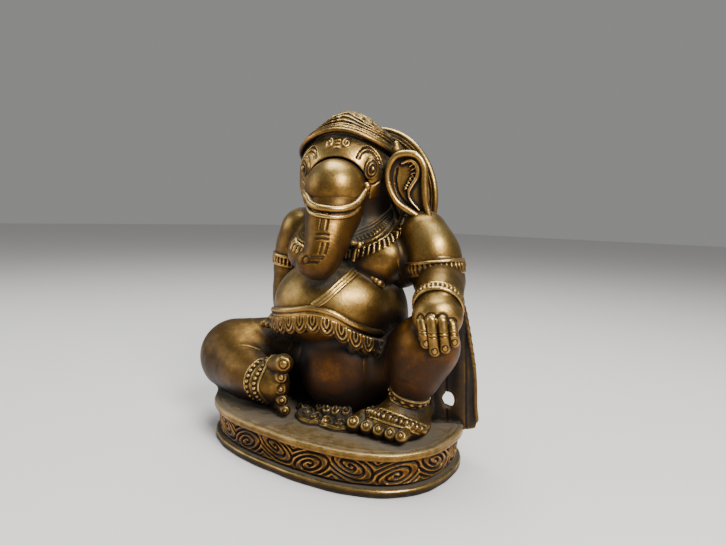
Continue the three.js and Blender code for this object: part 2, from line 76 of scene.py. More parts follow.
# ---------------------------------------------------------------- fields
def smooth_min(a, b, k):
    """The smaller of two distances, rounded off where they differ by less than k."""
    if k <= 0:
        return np.minimum(a, b)
    h = np.maximum(k - np.abs(a - b), 0) / k
    return np.minimum(a, b) - h * h * k * 0.25


def smooth_max(a, b, k):
    return -smooth_min(-a, -b, k)


def smoothstep(low, high, x):
    t = np.clip((x - low) / (high - low), 0, 1)
    return t * t * (3 - 2 * t)


def bearing_of(x, y, at):
    """Degrees round a vertical axis from the front (-Y), positive towards +X."""
    return np.degrees(np.arctan2(x - at[0], -(y - at[1])))


def curve(points, per=8, closed=False):
    """A smooth curve through points of any dimension, as dense points."""
    p = np.array(points, float)
    n = len(p)
    if closed:
        before, after = np.roll(p, 1, 0), np.roll(p, -1, 0)
        spans = range(n)
    else:
        before = np.vstack([2 * p[0] - p[1], p[:-1]])
        after = np.vstack([p[1:], 2 * p[-1] - p[-2]])
        spans = range(n - 1)
    out = []
    for i in spans:
        j = (i + 1) % n
        a, b = p[i], p[j]
        ta = (after[i] - before[i]) / 2
        tb = (after[j] - before[j]) / 2
        for t in np.arange(per) / per:
            out.append((2 * t**3 - 3 * t**2 + 1) * a + (t**3 - 2 * t**2 + t) * ta
                       + (3 * t**2 - 2 * t**3) * b + (t**3 - t**2) * tb)
    if not closed:
        out.append(p[-1])
    return np.array(out)


def turn(yaw=0.0, pitch=0.0, roll=0.0):
    """Rotation matrix: pitch about X, then roll about Y, then yaw about Z, in degrees."""
    about = lambda angle, axis: Matrix.Rotation(math.radians(angle), 3, axis)
    return np.array(about(yaw, "Z") @ about(roll, "Y") @ about(pitch, "X"))


def turned(place, at, matrix):
    """Coordinates of a place from `at`, along the columns of a matrix."""
    offset = [p - q for p, q in zip(place, at)]
    return [sum(matrix[j, i] * offset[j] for j in range(3)) for i in range(3)]


def length_of(parts):
    return np.sqrt(sum(p * p for p in parts))


def unit(v):
    v = np.array(v, float)
    return v / np.maximum(np.linalg.norm(v, axis=-1, keepdims=True), 1e-6)


def from_line(place, a, b):
    """Where along the line from a to b (0 to 1) each place is nearest, and its offsets from there."""
    ab = b - a
    offset = [p - q for p, q in zip(place, a)]
    t = np.clip(sum(o * s for o, s in zip(offset, ab)) / max(ab @ ab, 1e-9), 0, 1)
    return t, [o - t * s for o, s in zip(offset, ab)]


class Shape:
    """A box that holds the shape, and its distance as a function of three coordinate grids."""

    def __init__(self, low, high, distance):
        self.low, self.high, self.distance = np.array(low, float), np.array(high, float), distance


def ball(at, half, matrix=None):
    """An ellipsoid with three half sizes, turned by a matrix."""
    at, half = np.array(at, float), np.array(half, float)
    m = np.eye(3) if matrix is None else matrix
    reach = np.abs(m) @ half

    def distance(x, y, z):
        p = turned((x, y, z), at, m)
        k0 = length_of([p[i] / half[i] for i in range(3)])
        k1 = length_of([p[i] / half[i] ** 2 for i in range(3)])
        return k0 * (k0 - 1) / np.maximum(k1, 1e-5)

    return Shape(at - reach, at + reach, distance)


def limb(stops, per=11, flat=None, squash=1.0):
    """A smooth tapering body through stops (x, y, z, radius); flat is a direction it is thin along."""
    path = curve(stops, per) if len(stops) > 2 else np.array(stops, float)
    p, r = path[:, :3], path[:, 3]
    thin = np.zeros(3) if flat is None else unit(flat)
    stretch = np.eye(3) + (squash - 1) * np.outer(thin, thin)
    q = p @ stretch.T

    def distance(x, y, z):
        place = [row[0] * x + row[1] * y + row[2] * z for row in stretch]
        best = np.inf
        for a, b, ra, rb in zip(q[:-1], q[1:], r[:-1], r[1:]):
            t, gap = from_line(place, a, b)
            length = length_of(gap)
            d = length - (ra + t * (rb - ra))
            if flat is not None:
                along = sum(g * n for g, n in zip(gap, thin)) / np.maximum(length, 1e-5)
                d = d / np.sqrt(1 + (squash * squash - 1) * along * along)
            best = np.minimum(best, d)
        return best

    return Shape(p.min(0) - r.max(), p.max(0) + r.max(), distance)


def oval(x, y, inset=0.0):
    """Distance outside the plinth's outline, moved inwards by inset."""
    a, b = HALF_LENGTH - inset, HALF_WIDTH - inset
    u, v = np.abs(x / a) + 1e-6, np.abs(y / b) + 1e-6
    rho = (u**SQUARENESS + v**SQUARENESS) ** (1 / SQUARENESS)
    gx = (u / rho) ** (SQUARENESS - 1) / a
    gy = (v / rho) ** (SQUARENESS - 1) / b
    return (rho - 1) / np.hypot(gx, gy)


def slab(out, z, low, high, rounding):
    """A plate between two levels with rounded edges, from the distance outside its outline."""
    dz = np.abs(z - (low + high) / 2) - (high - low) / 2 + rounding
    dd = out + rounding
    return np.minimum(np.maximum(dd, dz), 0) + np.hypot(np.maximum(dd, 0), np.maximum(dz, 0)) - rounding


def wobble(x, y, z, length, seed):
    """A soft irregular field of about -1 to 1, with bumps about `length` across."""
    rng = np.random.default_rng(seed)
    total = 0
    for _ in range(7):
        k = rng.normal(size=3)
        k *= 2 * math.pi / length / np.linalg.norm(k) * rng.uniform(0.6, 1.3)
        total = total + np.sin(k[0] * x + k[1] * y + k[2] * z + rng.uniform(0, 6.28))
    return total / 3.5


class Clay:
    """A block of space with the distance to the surface at each grid point, negative inside."""

    def __init__(self, low, high, step=STEP):
        self.step = step
        self.low = np.floor(np.array(low, float) / step) * step
        count = np.ceil((np.array(high, float) - self.low) / step).astype(int) + 1
        self.axes = [(self.low[i] + step * np.arange(count[i])).astype(np.float32) for i in range(3)]
        self.d = np.full(count, FAR, np.float32)

    def grid(self, part=(slice(None),) * 3):
        ax = [a[s] for a, s in zip(self.axes, part)]
        return ax[0][:, None, None], ax[1][None, :, None], ax[2][None, None, :]

    def near(self, low, high):
        """The part of the grid inside a box, as slices."""
        first = np.clip(np.floor((np.array(low) - self.low) / self.step).astype(int), 0, None)
        last = np.clip(np.ceil((np.array(high) - self.low) / self.step).astype(int) + 1, 0, None)
        return tuple(slice(a, b) for a, b in zip(first, last))

    def field(self, shape, margin=2.5):
        part = self.near(shape.low - margin, shape.high + margin)
        out = np.full(self.d.shape, FAR, np.float32)
        if all(s.stop > s.start for s in part):
            out[part] = shape.distance(*self.grid(part))
        return out

    def trace(self, points, radius, closed=False, margin=1.2):
        """Distance to a line of points, with one radius or one for each point."""
        p = np.array(points, float)
        r = np.broadcast_to(np.array(radius, float), len(p))
        if closed:
            p, r = np.vstack([p, p[:1]]), np.append(r, r[0])
        out = np.full(self.d.shape, FAR, np.float32)
        for a, b, ra, rb in zip(p[:-1], p[1:], r[:-1], r[1:]):
            reach = max(ra, rb) + margin
            part = self.near(np.minimum(a, b) - reach, np.maximum(a, b) + reach)
            if all(s.stop > s.start for s in part):
                t, gap = from_line(self.grid(part), a, b)
                out[part] = np.minimum(out[part], length_of(gap) - (ra + t * (rb - ra)))
        return out

    def beads(self, points, radius):
        """Distance to a row of equal balls."""
        return functools.reduce(np.minimum, [self.trace([p, p], radius, margin=1.0) for p in points])

    def add(self, what, k=0.0):
        self.d = smooth_min(self.d, self.field(what) if isinstance(what, Shape) else what, k)
        return self

    def cut(self, what, k=0.0):
        self.d = smooth_max(self.d, -(self.field(what) if isinstance(what, Shape) else what), k)
        return self

    def thread(self, points, radius, k=0.0, closed=False):
        """Adds a cord along points."""
        return self.add(self.trace(points, radius, closed), k)

    def score(self, points, radius, k=0.1):
        """Cuts a round groove along points moved onto the surface."""
        return self.cut(self.trace(self.settle(points), radius), k)

    def keep(self, what, k=0.0):
        self.d = smooth_max(self.d, what, k)
        return self

    def flow(self, others, k):
        """Blends into neighbouring shapes, and ends just under their surface."""
        own = self.d
        for other in others:
            self.d = smooth_min(self.d, self.field(other, margin=k + 1), k)
        self.d = np.maximum(self.d + SKIN, own - 1.25 * k)
        return self

    def sample(self, points):
        """The field at any points, by linear interpolation."""
        return sample(self.d, self.low, self.step, points)

    def settle(self, points, proud=0.0):
        """Moves points onto the surface, or a little above it."""
        p = np.array(points, float)
        for _ in range(4):
            p = p - (self.sample(p) - proud)[:, None] * gradient(self, p)
        return p


def sample(values, low, step, points):
    """The values of a grid at any points, by linear interpolation."""
    q = np.clip((np.asarray(points) - low) / step, 0, np.array(values.shape) - 1.001)
    first = q.astype(int)
    share = q - first
    out = 0
    for corner in itertools.product((0, 1), repeat=values.ndim):
        weight, index = 1, []
        for axis, far_side in enumerate(corner):
            weight = weight * (share[..., axis] if far_side else 1 - share[..., axis])
            index.append(first[..., axis] + far_side)
        out = out + weight * values[tuple(index)]
    return out


def gradient(clay, points):
    """The direction away from the surface at each point."""
    steps = clay.step * np.eye(3)
    return unit(np.stack([clay.sample(points + e) - clay.sample(points - e) for e in steps], 1))


def surface(clay):
    """Surface nets: one vertex in each cell the surface passes through, one quad across each edge."""
    d = clay.d
    inside = d < 0
    n = np.array(d.shape) - 1
    corners = [(a, b, c) for a in (0, 1) for b in (0, 1) for c in (0, 1)]
    count = sum(inside[a:a + n[0], b:b + n[1], c:c + n[2]].astype(np.int8) for a, b, c in corners)
    cells = np.argwhere((count > 0) & (count < 8))
    index = np.full(n, -1, np.int32)
    index[tuple(cells.T)] = np.arange(len(cells))
    value = {c: d[cells[:, 0] + c[0], cells[:, 1] + c[1], cells[:, 2] + c[2]] for c in corners}
    total = np.zeros((len(cells), 3))
    hits = np.zeros(len(cells))
    for c in corners:
        for axis in range(3):
            if c[axis]:
                continue
            e = list(c)
            e[axis] = 1
            a, b = value[c], value[tuple(e)]
            cross = (a < 0) != (b < 0)
            t = np.where(cross, a / np.where(cross, a - b, 1), 0)
            point = np.tile(np.array(c, float), (len(cells), 1))
            point[:, axis] += t
            total += point * cross[:, None]
            hits += cross
    points = clay.low + clay.step * (cells + total / hits[:, None])
    quads = []
    for axis in range(3):
        u, v = [i for i in range(3) if i != axis]
        a = np.moveaxis(inside, axis, 0)
        change = a[:-1] != a[1:]
        change = np.moveaxis(change, 0, axis)
        where = np.argwhere(change)
        where = where[(where[:, u] > 0) & (where[:, v] > 0) & (where[:, u] < n[u]) & (where[:, v] < n[v])]
        ring = []
        for du, dv in ((0, 0), (-1, 0), (-1, -1), (0, -1)):
            w = where.copy()
            w[:, u] += du
            w[:, v] += dv
            ring.append(index[tuple(w.T)])
        q = np.stack(ring, 1)
        outward = inside[tuple(where.T)]
        flip = outward if axis != 1 else ~outward
        q[~flip] = q[~flip][:, ::-1]
        quads.append(q)
    return points, np.vstack(quads)


# ---------------------------------------------------------------- relief stamps
class Stamp:
    """A flat picture of heights (mm) over a patch u, v, drawn with raised lines."""

    def __init__(self, u, v, step=0.06, wrap=False):
        self.low, self.step, self.wrap = np.array([u[0], v[0]]), step, wrap
        self.size = np.array([u[1] - u[0], v[1] - v[0]])
        self.u = u[0] + step * np.arange(int(self.size[0] / step) + 2)
        self.v = v[0] + step * np.arange(int(self.size[1] / step) + 2)
        self.h = np.zeros((len(self.u), len(self.v)))

    def line(self, points, width, height):
        """Adds a rounded ridge (or a groove, with a negative height) along points."""
        p = np.array(points, float)
        shifts = (-self.size[0], 0, self.size[0]) if self.wrap else (0,)
        best = np.full(self.h.shape, 99.0)
        w = np.broadcast_to(np.array(width, float), len(p))
        for shift in shifts:
            for a, b, wa, wb in zip(p[:-1] + [shift, 0], p[1:] + [shift, 0], w[:-1], w[1:]):
                t, gap = from_line((self.u[:, None], self.v[None, :]), a, b)
                best = np.minimum(best, length_of(gap) / np.maximum(wa + t * (wb - wa), 1e-3))
        bump = np.sqrt(np.clip(1 - best**2, 0, 1)) * height
        joined = np.maximum(self.h, bump) if height > 0 else np.minimum(self.h, bump)
        self.h = np.where(best < 1, joined, self.h)
        return self

    def __call__(self, u, v):
        """The heights at u, v, and 0 outside the patch."""
        q = np.stack(np.broadcast_arrays(u - self.low[0], v - self.low[1]), -1)
        if self.wrap:
            q[..., 0] = np.mod(q[..., 0], self.size[0])
        within = ((q >= 0) & (q <= self.size)).all(-1)
        return np.where(within, sample(self.h, 0, self.step, q), 0).astype(np.float32)


def spiral(at, start, end, begin, turns):
    """Points on a spiral round `at`, from radius start to end, beginning at an angle in degrees."""
    t = np.linspace(0, 1, 28)
    a = math.radians(begin) + 2 * math.pi * turns * t
    r = start + (end - start) * t
    return np.stack([at[0] + r * np.cos(a), at[1] + r * np.sin(a)], 1)


# ---------------------------------------------------------------- the figure's masses
HEAD, HEAD_HALF = [0.9, 2.0, 58.6], [10.3, 10.4, 10.0]
BELLY, BELLY_HALF = [0.5, -0.6, 31.5], [13.4, 12.8, 9.8]
CHEST, CHEST_HALF = [0.5, 4.0, 43.5], [13.5, 8.5, 8.2]

MASS = {
    "upper_belly": ball(BELLY, BELLY_HALF),
    "lower_belly": ball([3.2, -0.5, 19.0], [9.6, 9.6, 11.5]),
    "seat": ball([0, 5.5, 15.5], [15.5, 10.5, 9.0]),
    "chest": ball(CHEST, CHEST_HALF),
    "left_breast": ball([9.6, 0.9, 41.6], [6.9, 5.6, 5.6]),
    "armpit": ball([13.6, 4.4, 40.4], [4.6, 3.8, 5.0]),
    "flank": ball([11.0, 3.2, 29.2], [4.4, 5.0, 8.4]),
    "right_breast": ball([-7.0, 0.8, 41.6], [6.4, 5.6, 5.0]),
    "neck": ball([0.8, 3.6, 49.8], [9.0, 8.0, 8.5]),
    "head": ball(HEAD, HEAD_HALF),
    "snout_dome": ball([3.9, -6.0, 55.0], [6.1, 6.4, 6.1]),
    "left_upper_arm": limb([(17.9, 4.9, 46.6, 5.1), (20.4, 4.5, 43.0, 5.5), (21.8, 4.3, 38.8, 5.1)]),
    "right_upper_arm": limb([(-13.4, 4.6, 46.2, 5.5), (-15.3, 4.8, 42.6, 5.3), (-16.6, 4.9, 38.4, 4.7)]),
    "left_forearm": limb([(22.6, 4.0, 37.2, 4.9), (24.7, -0.2, 36.5, 4.6), (26.4, -4.0, 34.6, 4.2)]),
    "right_forearm": limb([(-17.0, 4.4, 36.0, 4.3), (-16.8, 3.4, 30.8, 3.9), (-15.2, 1.6, 27.8, 3.4)]),
    "left_hand": ball([27.4, -6.1, 32.6], [4.6, 3.7, 4.2], turn(yaw=31)),
    "left_thigh": limb([(10.5, 4.5, 16.5, 7.2), (17.5, 2.0, 22.0, 6.6), (23.4, -2.0, 26.2, 6.1)]),
    "left_shin": limb([(24.4, -3.6, 26.0, 5.6), (22.4, -3.4, 20.8, 4.8), (20.0, -2.2, 16.0, 3.5)]),
    "right_thigh": limb([(-9.5, 5.0, 17.2, 8.2), (-18.5, 0.8, 17.0, 8.3), (-26.3, -4.2, 16.6, 8.1)]),
    "right_shin": limb([(-25.6, -5.6, 15.8, 7.4), (-17.0, -9.2, 14.9, 5.8), (-9.4, -11.2, 14.6, 4.0)]),
    "plinth": Shape([-30, -20, 0], [30, 20, PLINTH_TOP],
                    lambda x, y, z: slab(oval(x, y), z, 0, PLINTH_TOP, 0.3)),
}


def on_ball(at, half, bearing, z, proud=0.0):
    """A point on an upright ball at a bearing from the front and a level."""
    rise = np.clip((z - at[2]) / half[2], -0.99, 0.99)
    flat = math.sqrt(1 - rise * rise)
    b = math.radians(bearing)
    reach = 1 / math.hypot(math.sin(b) / half[0], math.cos(b) / half[1])
    r = reach * flat + proud
    return [at[0] + r * math.sin(b), at[1] - r * math.cos(b), z]


def start(name, step=STEP, margin=1.5, also=()):
    """Clay holding one of the masses, with others joined to it."""
    shapes = [MASS[name]] + list(also)
    low = np.min([s.low for s in shapes], 0) - margin
    high = np.max([s.high for s in shapes], 0) + margin
    return functools.reduce(lambda clay, s: clay.add(s, 1.0), also, Clay(low, high, step).add(MASS[name]))


def clay_round(points, margin, step=FINE):
    """Empty clay with a margin round points, or round a shape."""
    if isinstance(points, Shape):
        return Clay(points.low - margin, points.high + margin, step)
    return Clay(points.min(0) - margin, points.max(0) + margin, step)


def hand_made(clay, amount, length, seed):
    """The slight unevenness of a surface modelled by hand in wax."""
    clay.d += (amount * wobble(*clay.grid(), length, seed)).astype(np.float32)
    return clay


def floor_cut(clay, level=None):
    """Cuts away what lies below a level, or just below the plinth's top."""
    z = clay.grid()[2]
    return clay.keep((PLINTH_TOP - SUNK if level is None else level) - z + 0 * clay.d)


PIECES = []  # CAD node, clay, look


def piece(name, clay, look):
    PIECES.append((name, clay, look))


# ---------------------------------------------------------------- plinth
def outline_arc():
    """Angle round the plinth and distance along its outline, for laying out the frieze."""
    a = np.linspace(-math.pi, math.pi, 720)
    p = 2 / SQUARENESS
    x = HALF_LENGTH * np.sign(np.cos(a)) * np.abs(np.cos(a)) ** p
    y = HALF_WIDTH * np.sign(np.sin(a)) * np.abs(np.sin(a)) ** p
    s = np.concatenate([[0], np.cumsum(np.hypot(np.diff(x), np.diff(y)))])
    return np.unwrap(np.arctan2(y, x)), s


def frieze_stamp(length, height):
    """Leaf scrolls cut as grooves: leaning oval whirls, high and low by turns, that run together."""
    stamp = Stamp((0, length), (0, height), wrap=True)
    u, v = stamp.u[:, None], stamp.v[None, :]
    bays, spacing = 18, 0.98
    pitch = length / bays
    whirls = np.full(stamp.h.shape, 99.0)
    for k in range(bays):
        side = -1 if k % 2 else 1
        du = np.mod(u - pitch * (k + 0.5) + length / 2, length) - length / 2
        dv = v - height * (0.5 + 0.15 * side)
        lean = du + 0.85 * side * dv
        coil = spacing * np.arctan2(dv, lean) / (2 * math.pi)
        whirls = np.minimum(whirls, np.hypot(lean / 1.55, dv) + side * coil)
    slope = np.clip(np.hypot(*np.gradient(whirls, stamp.step)), 0.5, 1.3)
    away = np.abs(np.mod(whirls / spacing, 1) - 0.5) * spacing / slope
    margin = smoothstep(0.05, 0.4, v) * smoothstep(0.05, 0.4, height - v)
    stamp.h = -0.55 * smoothstep(0.36, 0.04, away) * margin
    return stamp


def layer(low, high, step):
    """Empty clay as wide as the plinth, between two levels."""
    edge = np.array([HALF_LENGTH + 0.6, HALF_WIDTH + 0.6])
    return Clay([*-edge, low], [*edge, high], step)


def make_plinth():
    flange = layer(-0.5, 2.4, FINE * 1.2)
    x, y, z = flange.grid()
    out = oval(x, y, 0.35)
    flange.d = slab(out, z, 0.0, FLANGE_TOP + 0.1, 0.5).astype(np.float32)
    flange.d += (0.06 * wobble(x, y, z, 5, 3)).astype(np.float32)
    flange.keep(-z + 0 * flange.d)
    piece("base_flange", flange, "aged_brass")

    low, high = FLANGE_TOP - 0.2, PLATE_LOW + 0.3
    frieze = layer(low - 0.4, high + 0.4, FINE)
    x, y, z = frieze.grid()
    rise = np.clip((z - low) / (high - low), 0, 1)
    out = oval(x, y, 0.75) + 0.7 * (1 - rise) + 0.9 * smoothstep(0.16, 0.0, rise)
    angles, arc = outline_arc()
    s = np.interp(np.arctan2(y, x) + 0 * z, angles, arc)
    panel_low, panel_high = low + 0.9, high - 0.35
    stamp = frieze_stamp(arc[-1], panel_high - panel_low)
    relief = stamp(s, z - panel_low + 0 * s)
    d = slab(out, z, low, high, 0.15) - np.where(out > -2.0, relief, 0)
    frieze.d = (d + 0.05 * wobble(x, y, z, 3.5, 5)).astype(np.float32)
    piece("base_frieze", frieze, "frieze_brass")

    plate = layer(PLATE_LOW - 0.6, PLINTH_TOP + 0.7, FINE * 1.1)
    x, y, z = plate.grid()
    out = oval(x, y)
    d = slab(out + 0.1 * wobble(x, y, z, 9, 7), z, PLATE_LOW + 0.05, PLINTH_TOP, 0.42)
    top = z > PLINTH_TOP - 0.8
    groove = 0.18 * smoothstep(0.34, 0.0, np.abs(out + 1.3)) * top
    inner = smoothstep(-1.4, -3.0, out) * top
    dents = 0.09 * wobble(x, y, 0 * z, 4.0, 8) + 0.05 * wobble(x, y, 0 * z, 1.7, 9)
    plate.d = (d + groove + inner * (0.1 + dents)).astype(np.float32)
    piece("base_top_plate", plate, "plate_brass")


# ---------------------------------------------------------------- trunk of the body
def roll_level(bearing):
    """Level of the belt on the belly at a bearing."""
    stops = curve([(-180, 28.0), (-120, 28.6), (-75, 29.2), (-46, 29.8), (-4, 31.3), (16, 32.1), (35, 31.4),
                   (52, 29.3), (75, 27.3), (108, 26.0), (150, 26.6), (180, 28.0)], 8)
    return np.interp(bearing, stops[:, 0], stops[:, 1])


def make_torso():
    belly = hand_made(start("upper_belly", margin=2.5, also=[MASS["flank"]]), 0.06, 9, 11)
    belly.flow([MASS["chest"], MASS["left_breast"]], 0.8)
    piece("upper_belly", belly, "belly_brass")

    low = hand_made(start("lower_belly", margin=2.5), 0.08, 7, 12)
    low.flow([MASS["upper_belly"], MASS["seat"], MASS["plinth"]], 1.6)
    floor_cut(low)
    piece("lower_belly", low, "warm_brass")

    seat = hand_made(start("seat", STEP * 1.2, margin=3), 0.08, 8, 13)
    seat.flow([MASS["upper_belly"], MASS["left_thigh"], MASS["right_thigh"], MASS["plinth"]], 2.0)
    floor_cut(seat)
    piece("seat", seat, "thigh_brass")

    chest = start("chest", margin=3, also=[MASS["left_breast"], MASS["right_breast"], MASS["armpit"]])
    hand_made(chest, 0.07, 7, 14)
    chest.flow([MASS["upper_belly"], MASS["left_upper_arm"], MASS["right_upper_arm"], MASS["neck"]], 1.2)
    piece("chest", chest, "polished_brass")

    neck = hand_made(start("neck", margin=3), 0.05, 6, 15)
    neck.flow([MASS["chest"], MASS["head"]], 2.2)
    piece("neck", neck, "dark_patina_brass")


# ---------------------------------------------------------------- head
def head_clay():
    clay = hand_made(start("head", FINE * 1.1, margin=1.2), 0.05, 7, 21)
    x, y, z = clay.grid()
    at_face = bearing_of(x, y, HEAD) - HEAD_YAW
    u = np.radians(at_face) * 10.0
    v = z - HEAD[2] + 0 * u
    stamp = Stamp((-14, 14), (-10, 10))
    for side in (-1, 1):
        for inset in (0, 1):
            brow = [(side * (4.2 + 0.5 * inset), 2.6 - 0.2 * inset), (side * 5.4, 4.3 - 0.75 * inset),
                    (side * 7.2, 4.9 - 0.85 * inset), (side * (8.9 - 0.4 * inset), 3.6 - 0.4 * inset),
                    (side * (9.7 - 0.5 * inset), 1.4)]
            stamp.line(curve(brow, 6), 0.2, -0.34)
        lid = [(side * 4.9, -0.6), (side * 6.0, -1.9), (side * 7.6, -2.4), (side * 9.1, -1.6)]
        stamp.line(curve(lid, 6), 0.19, -0.3)
        stamp.line(spiral((side * 2.1, 5.6), 1.0, 0.3, 90, side * 1.2), 0.2, 0.3)
    for k in range(3):
        stamp.line([(-0.6, 4.6 + 0.75 * k), (0.6, 4.7 + 0.75 * k)], 0.18, 0.28)
    clay.d -= np.where(y < HEAD[1] + 4, stamp(u, v), 0)
    return clay


def make_head():
    head = head_clay()
    snout = MASS["snout_dome"]
    crease = np.abs(head.field(snout) - 0.1) - 0.24
    head.cut(crease.astype(np.float32), 0.25)
    piece("head", head, "brow_brass")

    dome = hand_made(start("snout_dome", FINE * 1.2), 0.04, 6, 22)
    piece("snout_dome", dome, "polished_brass")


def make_eyes():
    for name, side in (("left_eye", 1), ("right_eye", -1)):
        bearing = HEAD_YAW + side * 41
        at = np.array(on_ball(HEAD, HEAD_HALF, bearing, 59.4, -0.1))
        tilt = turn(yaw=bearing) @ turn(roll=side * 14)
        eye = Clay(at - 3.2, at + 3.2, 0.1 * COARSE)
        eye.add(ball(at, [1.75, 0.8, 2.4], tilt))
        out = tilt @ np.array([0, -1, 0])
        u, _, w = turned(eye.grid(), at, tilt)
        ring = np.hypot(u / 0.72, w + 0.3)
        eye.d += (0.17 * (0.5 + 0.5 * np.cos(2 * math.pi * ring / 0.78))).astype(np.float32)
        eye.add(ball(at + out * 0.7 + [0, 0, -0.2], [0.45, 0.45, 0.45]), 0.1)
        piece(name, eye, "aged_brass")


def make_cap():
    profile = [(0, 50), (11.2, 50), (11.2, 58), (11.0, 61), (10.4, 63.5), (9.1, 65.9), (7.4, 67.6),
               (5.3, 69.3), (3.2, 70.8), (1.5, 71.65), (0, FIGURE_TOP)]
    smooth = np.vstack([profile[:1], curve(profile[1:], 4)])
    middle = (HEAD[0], HEAD[1] + 0.3)
    back_level, front_rise, turned_by, reach = 59.6, 6.9, 16, 13
    forward = lambda bearing: (1 + np.cos(np.radians(bearing - turned_by))) / 2
    brim = lambda bearing: back_level + front_rise * forward(bearing) ** 1.8
    around = lambda low, high: Clay([middle[0] - reach, middle[1] - reach, low],
                                    [middle[0] + reach, middle[1] + reach, high], FINE * 1.2)
    cap = around(54.5, FIGURE_TOP + 1)
    x, y, z = cap.grid()
    r = np.hypot(x - middle[0], y - middle[1])
    d = np.full(cap.d.shape, FAR, np.float32)
    for a, b in zip(smooth[:-1], smooth[1:]):
        d = np.minimum(d, length_of(from_line((r, z), a, b)[1]))
    inside = r < np.interp(z, smooth[1:, 1], smooth[1:, 0])
    d = np.where(inside, -d, d)
    bearing = bearing_of(x, y, middle)
    above = z - brim(bearing)
    uneven = 0.25 * wobble(x, y, z, 6, 25)
    rings = 0.2 * np.cos(2 * math.pi * (above + uneven) / 0.92)
    rings = rings * smoothstep(5.4, 4.4, above) * smoothstep(0.9, 1.4, above)
    u = np.radians(bearing) * 8
    swirl = 0.17 * np.sin(2.9 * u + 2.4 * np.sin(1.7 * above)) * smoothstep(4.2, 5.2, above)
    swirl = swirl * smoothstep(71.4, 70.2, z)
    lumps = 0.12 * wobble(x, y, z, 5, 24) + 0.05 * wobble(x, y, z, 1.2, 26)
    cap.d = (d - rings - swirl + lumps).astype(np.float32)
    cap.keep((brim(bearing) + 0.9 - z).astype(np.float32), 0.3)
    cap.cut(ball(HEAD, [9.4, 9.5, 9.1]))
    piece("crown_cap", cap, "aged_brass")

    rim = around(53.5, 69.5)
    angles = np.arange(-180, 180, 4)
    a = np.radians(angles)
    for rise, inset, thick in ((0.3, 0.15, 0.5), (1.15, 0.25, 0.33)):
        levels = brim(angles) + rise
        radius = np.interp(levels, smooth[1:, 1], smooth[1:, 0]) - inset
        ring = np.stack([middle[0] + radius * np.sin(a), middle[1] - radius * np.cos(a), levels], 1)
        rim.thread(ring, thick, 0.12, closed=True)
    piece("crown_rim", rim, "aged_brass")

    at = np.array([11.6, 3.4, 63.2])
    bud = Clay(at - 3, at + 3, FINE)
    bud.add(ball(at, [1.5, 1.5, 1.6])).add(ball(at + [0.2, -0.3, 1.3], [0.7, 0.7, 0.8]), 0.4)
    piece("crown_side_bud", bud, "polished_brass")


TRUNK = [(4.2, -6.8, 51.4, 5.8), (5.0, -9.2, 47.5, 4.8), (5.7, -11.3, 43.6, 4.0), (5.3, -12.5, 41.2, 3.5),
         (3.9, -13.2, 40.9, 2.9)]
LIP = [(-1.6, -8.3, 55.4), (-0.4, -11.0, 54.2), (1.6, -12.4, 53.0), (3.4, -12.8, 51.9), (5.7, -12.5, 51.1),
       (8.1, -11.0, 50.9), (9.4, -8.2, 51.8), (10.0, -6.0, 53.4), (9.9, -4.5, 55.2)]
# The ear's outline: outwards from the head, and up
EAR_OUTLINE = [(-0.2, 5.4), (2.0, 4.9), (3.4, 2.8), (3.6, -0.4), (3.9, -3.8), (4.7, -7.6), (1.2, -6.0),
               (-1.8, -3.9), (-3.5, -0.8), (-3.7, 2.4), (-2.4, 4.7)]


def make_trunk():
    shape = limb(TRUNK, 6)
    trunk = clay_round(shape, 1).add(shape)
    hand_made(trunk, 0.05, 5, 31)
    stops = curve(TRUNK, 10)
    view = np.array([0.42, -0.9, 0.12])
    spots = trunk.settle(stops[:, :3] + view * stops[:, 3:])
    side = np.array([0.9, 0.42, 0.0])
    across = lambda i, reach: [spots[i] + side * s for s in np.linspace(*reach, 6)]
    down = lambda first, last, shift: [spots[i] + side * shift for i in range(first, last)]
    lines = [down(4, 13, -0.7), down(4, 13, 0.6), across(14, (-1.2, 1.2)), across(16, (-1.2, 1.2)),
             down(18, 25, 0.2), down(18, 25, 1.3), across(26, (-1.3, 1.2)), across(28, (-1.3, 1.2)),
             across(32, (-1.0, 1.0)), across(34, (-1.0, 1.0))]
    for line in lines:
        trunk.score(line, 0.19)
    end = trunk.settle([spots[38] + [-0.6, 0, 0.3]])[0]
    ring = [end + 0.75 * np.array([math.cos(a), 0.2 * math.sin(a), math.sin(a)])
            for a in np.linspace(0, 6.28, 14)]
    trunk.score(ring, 0.17)
    piece("trunk", trunk, "trunk_brass")

    muzzle = Clay([-4, -15, 47], [12, -1, 58], FINE * 1.2).add(MASS["snout_dome"]).add(shape, 0.6)
    lip = muzzle.settle(curve(LIP, 8), 0.1)
    band = clay_round(lip, 2.4)
    taper = np.interp(np.linspace(0, 1, len(lip)), [0, 0.12, 0.9, 1], [0.4, 0.68, 0.72, 0.5])
    band.thread(lip, taper)
    lower = muzzle.settle(lip + [0.1, -0.2, -1.5], 0.0)
    band.thread(lower[5:-9], taper[5:-9] * 0.62, 0.1)
    band.add(ball(lip[-1] + [0.1, 0.2, 0.5], [0.85, 0.85, 0.95]), 0.4)
    piece("mouth_band", band, "polished_brass")


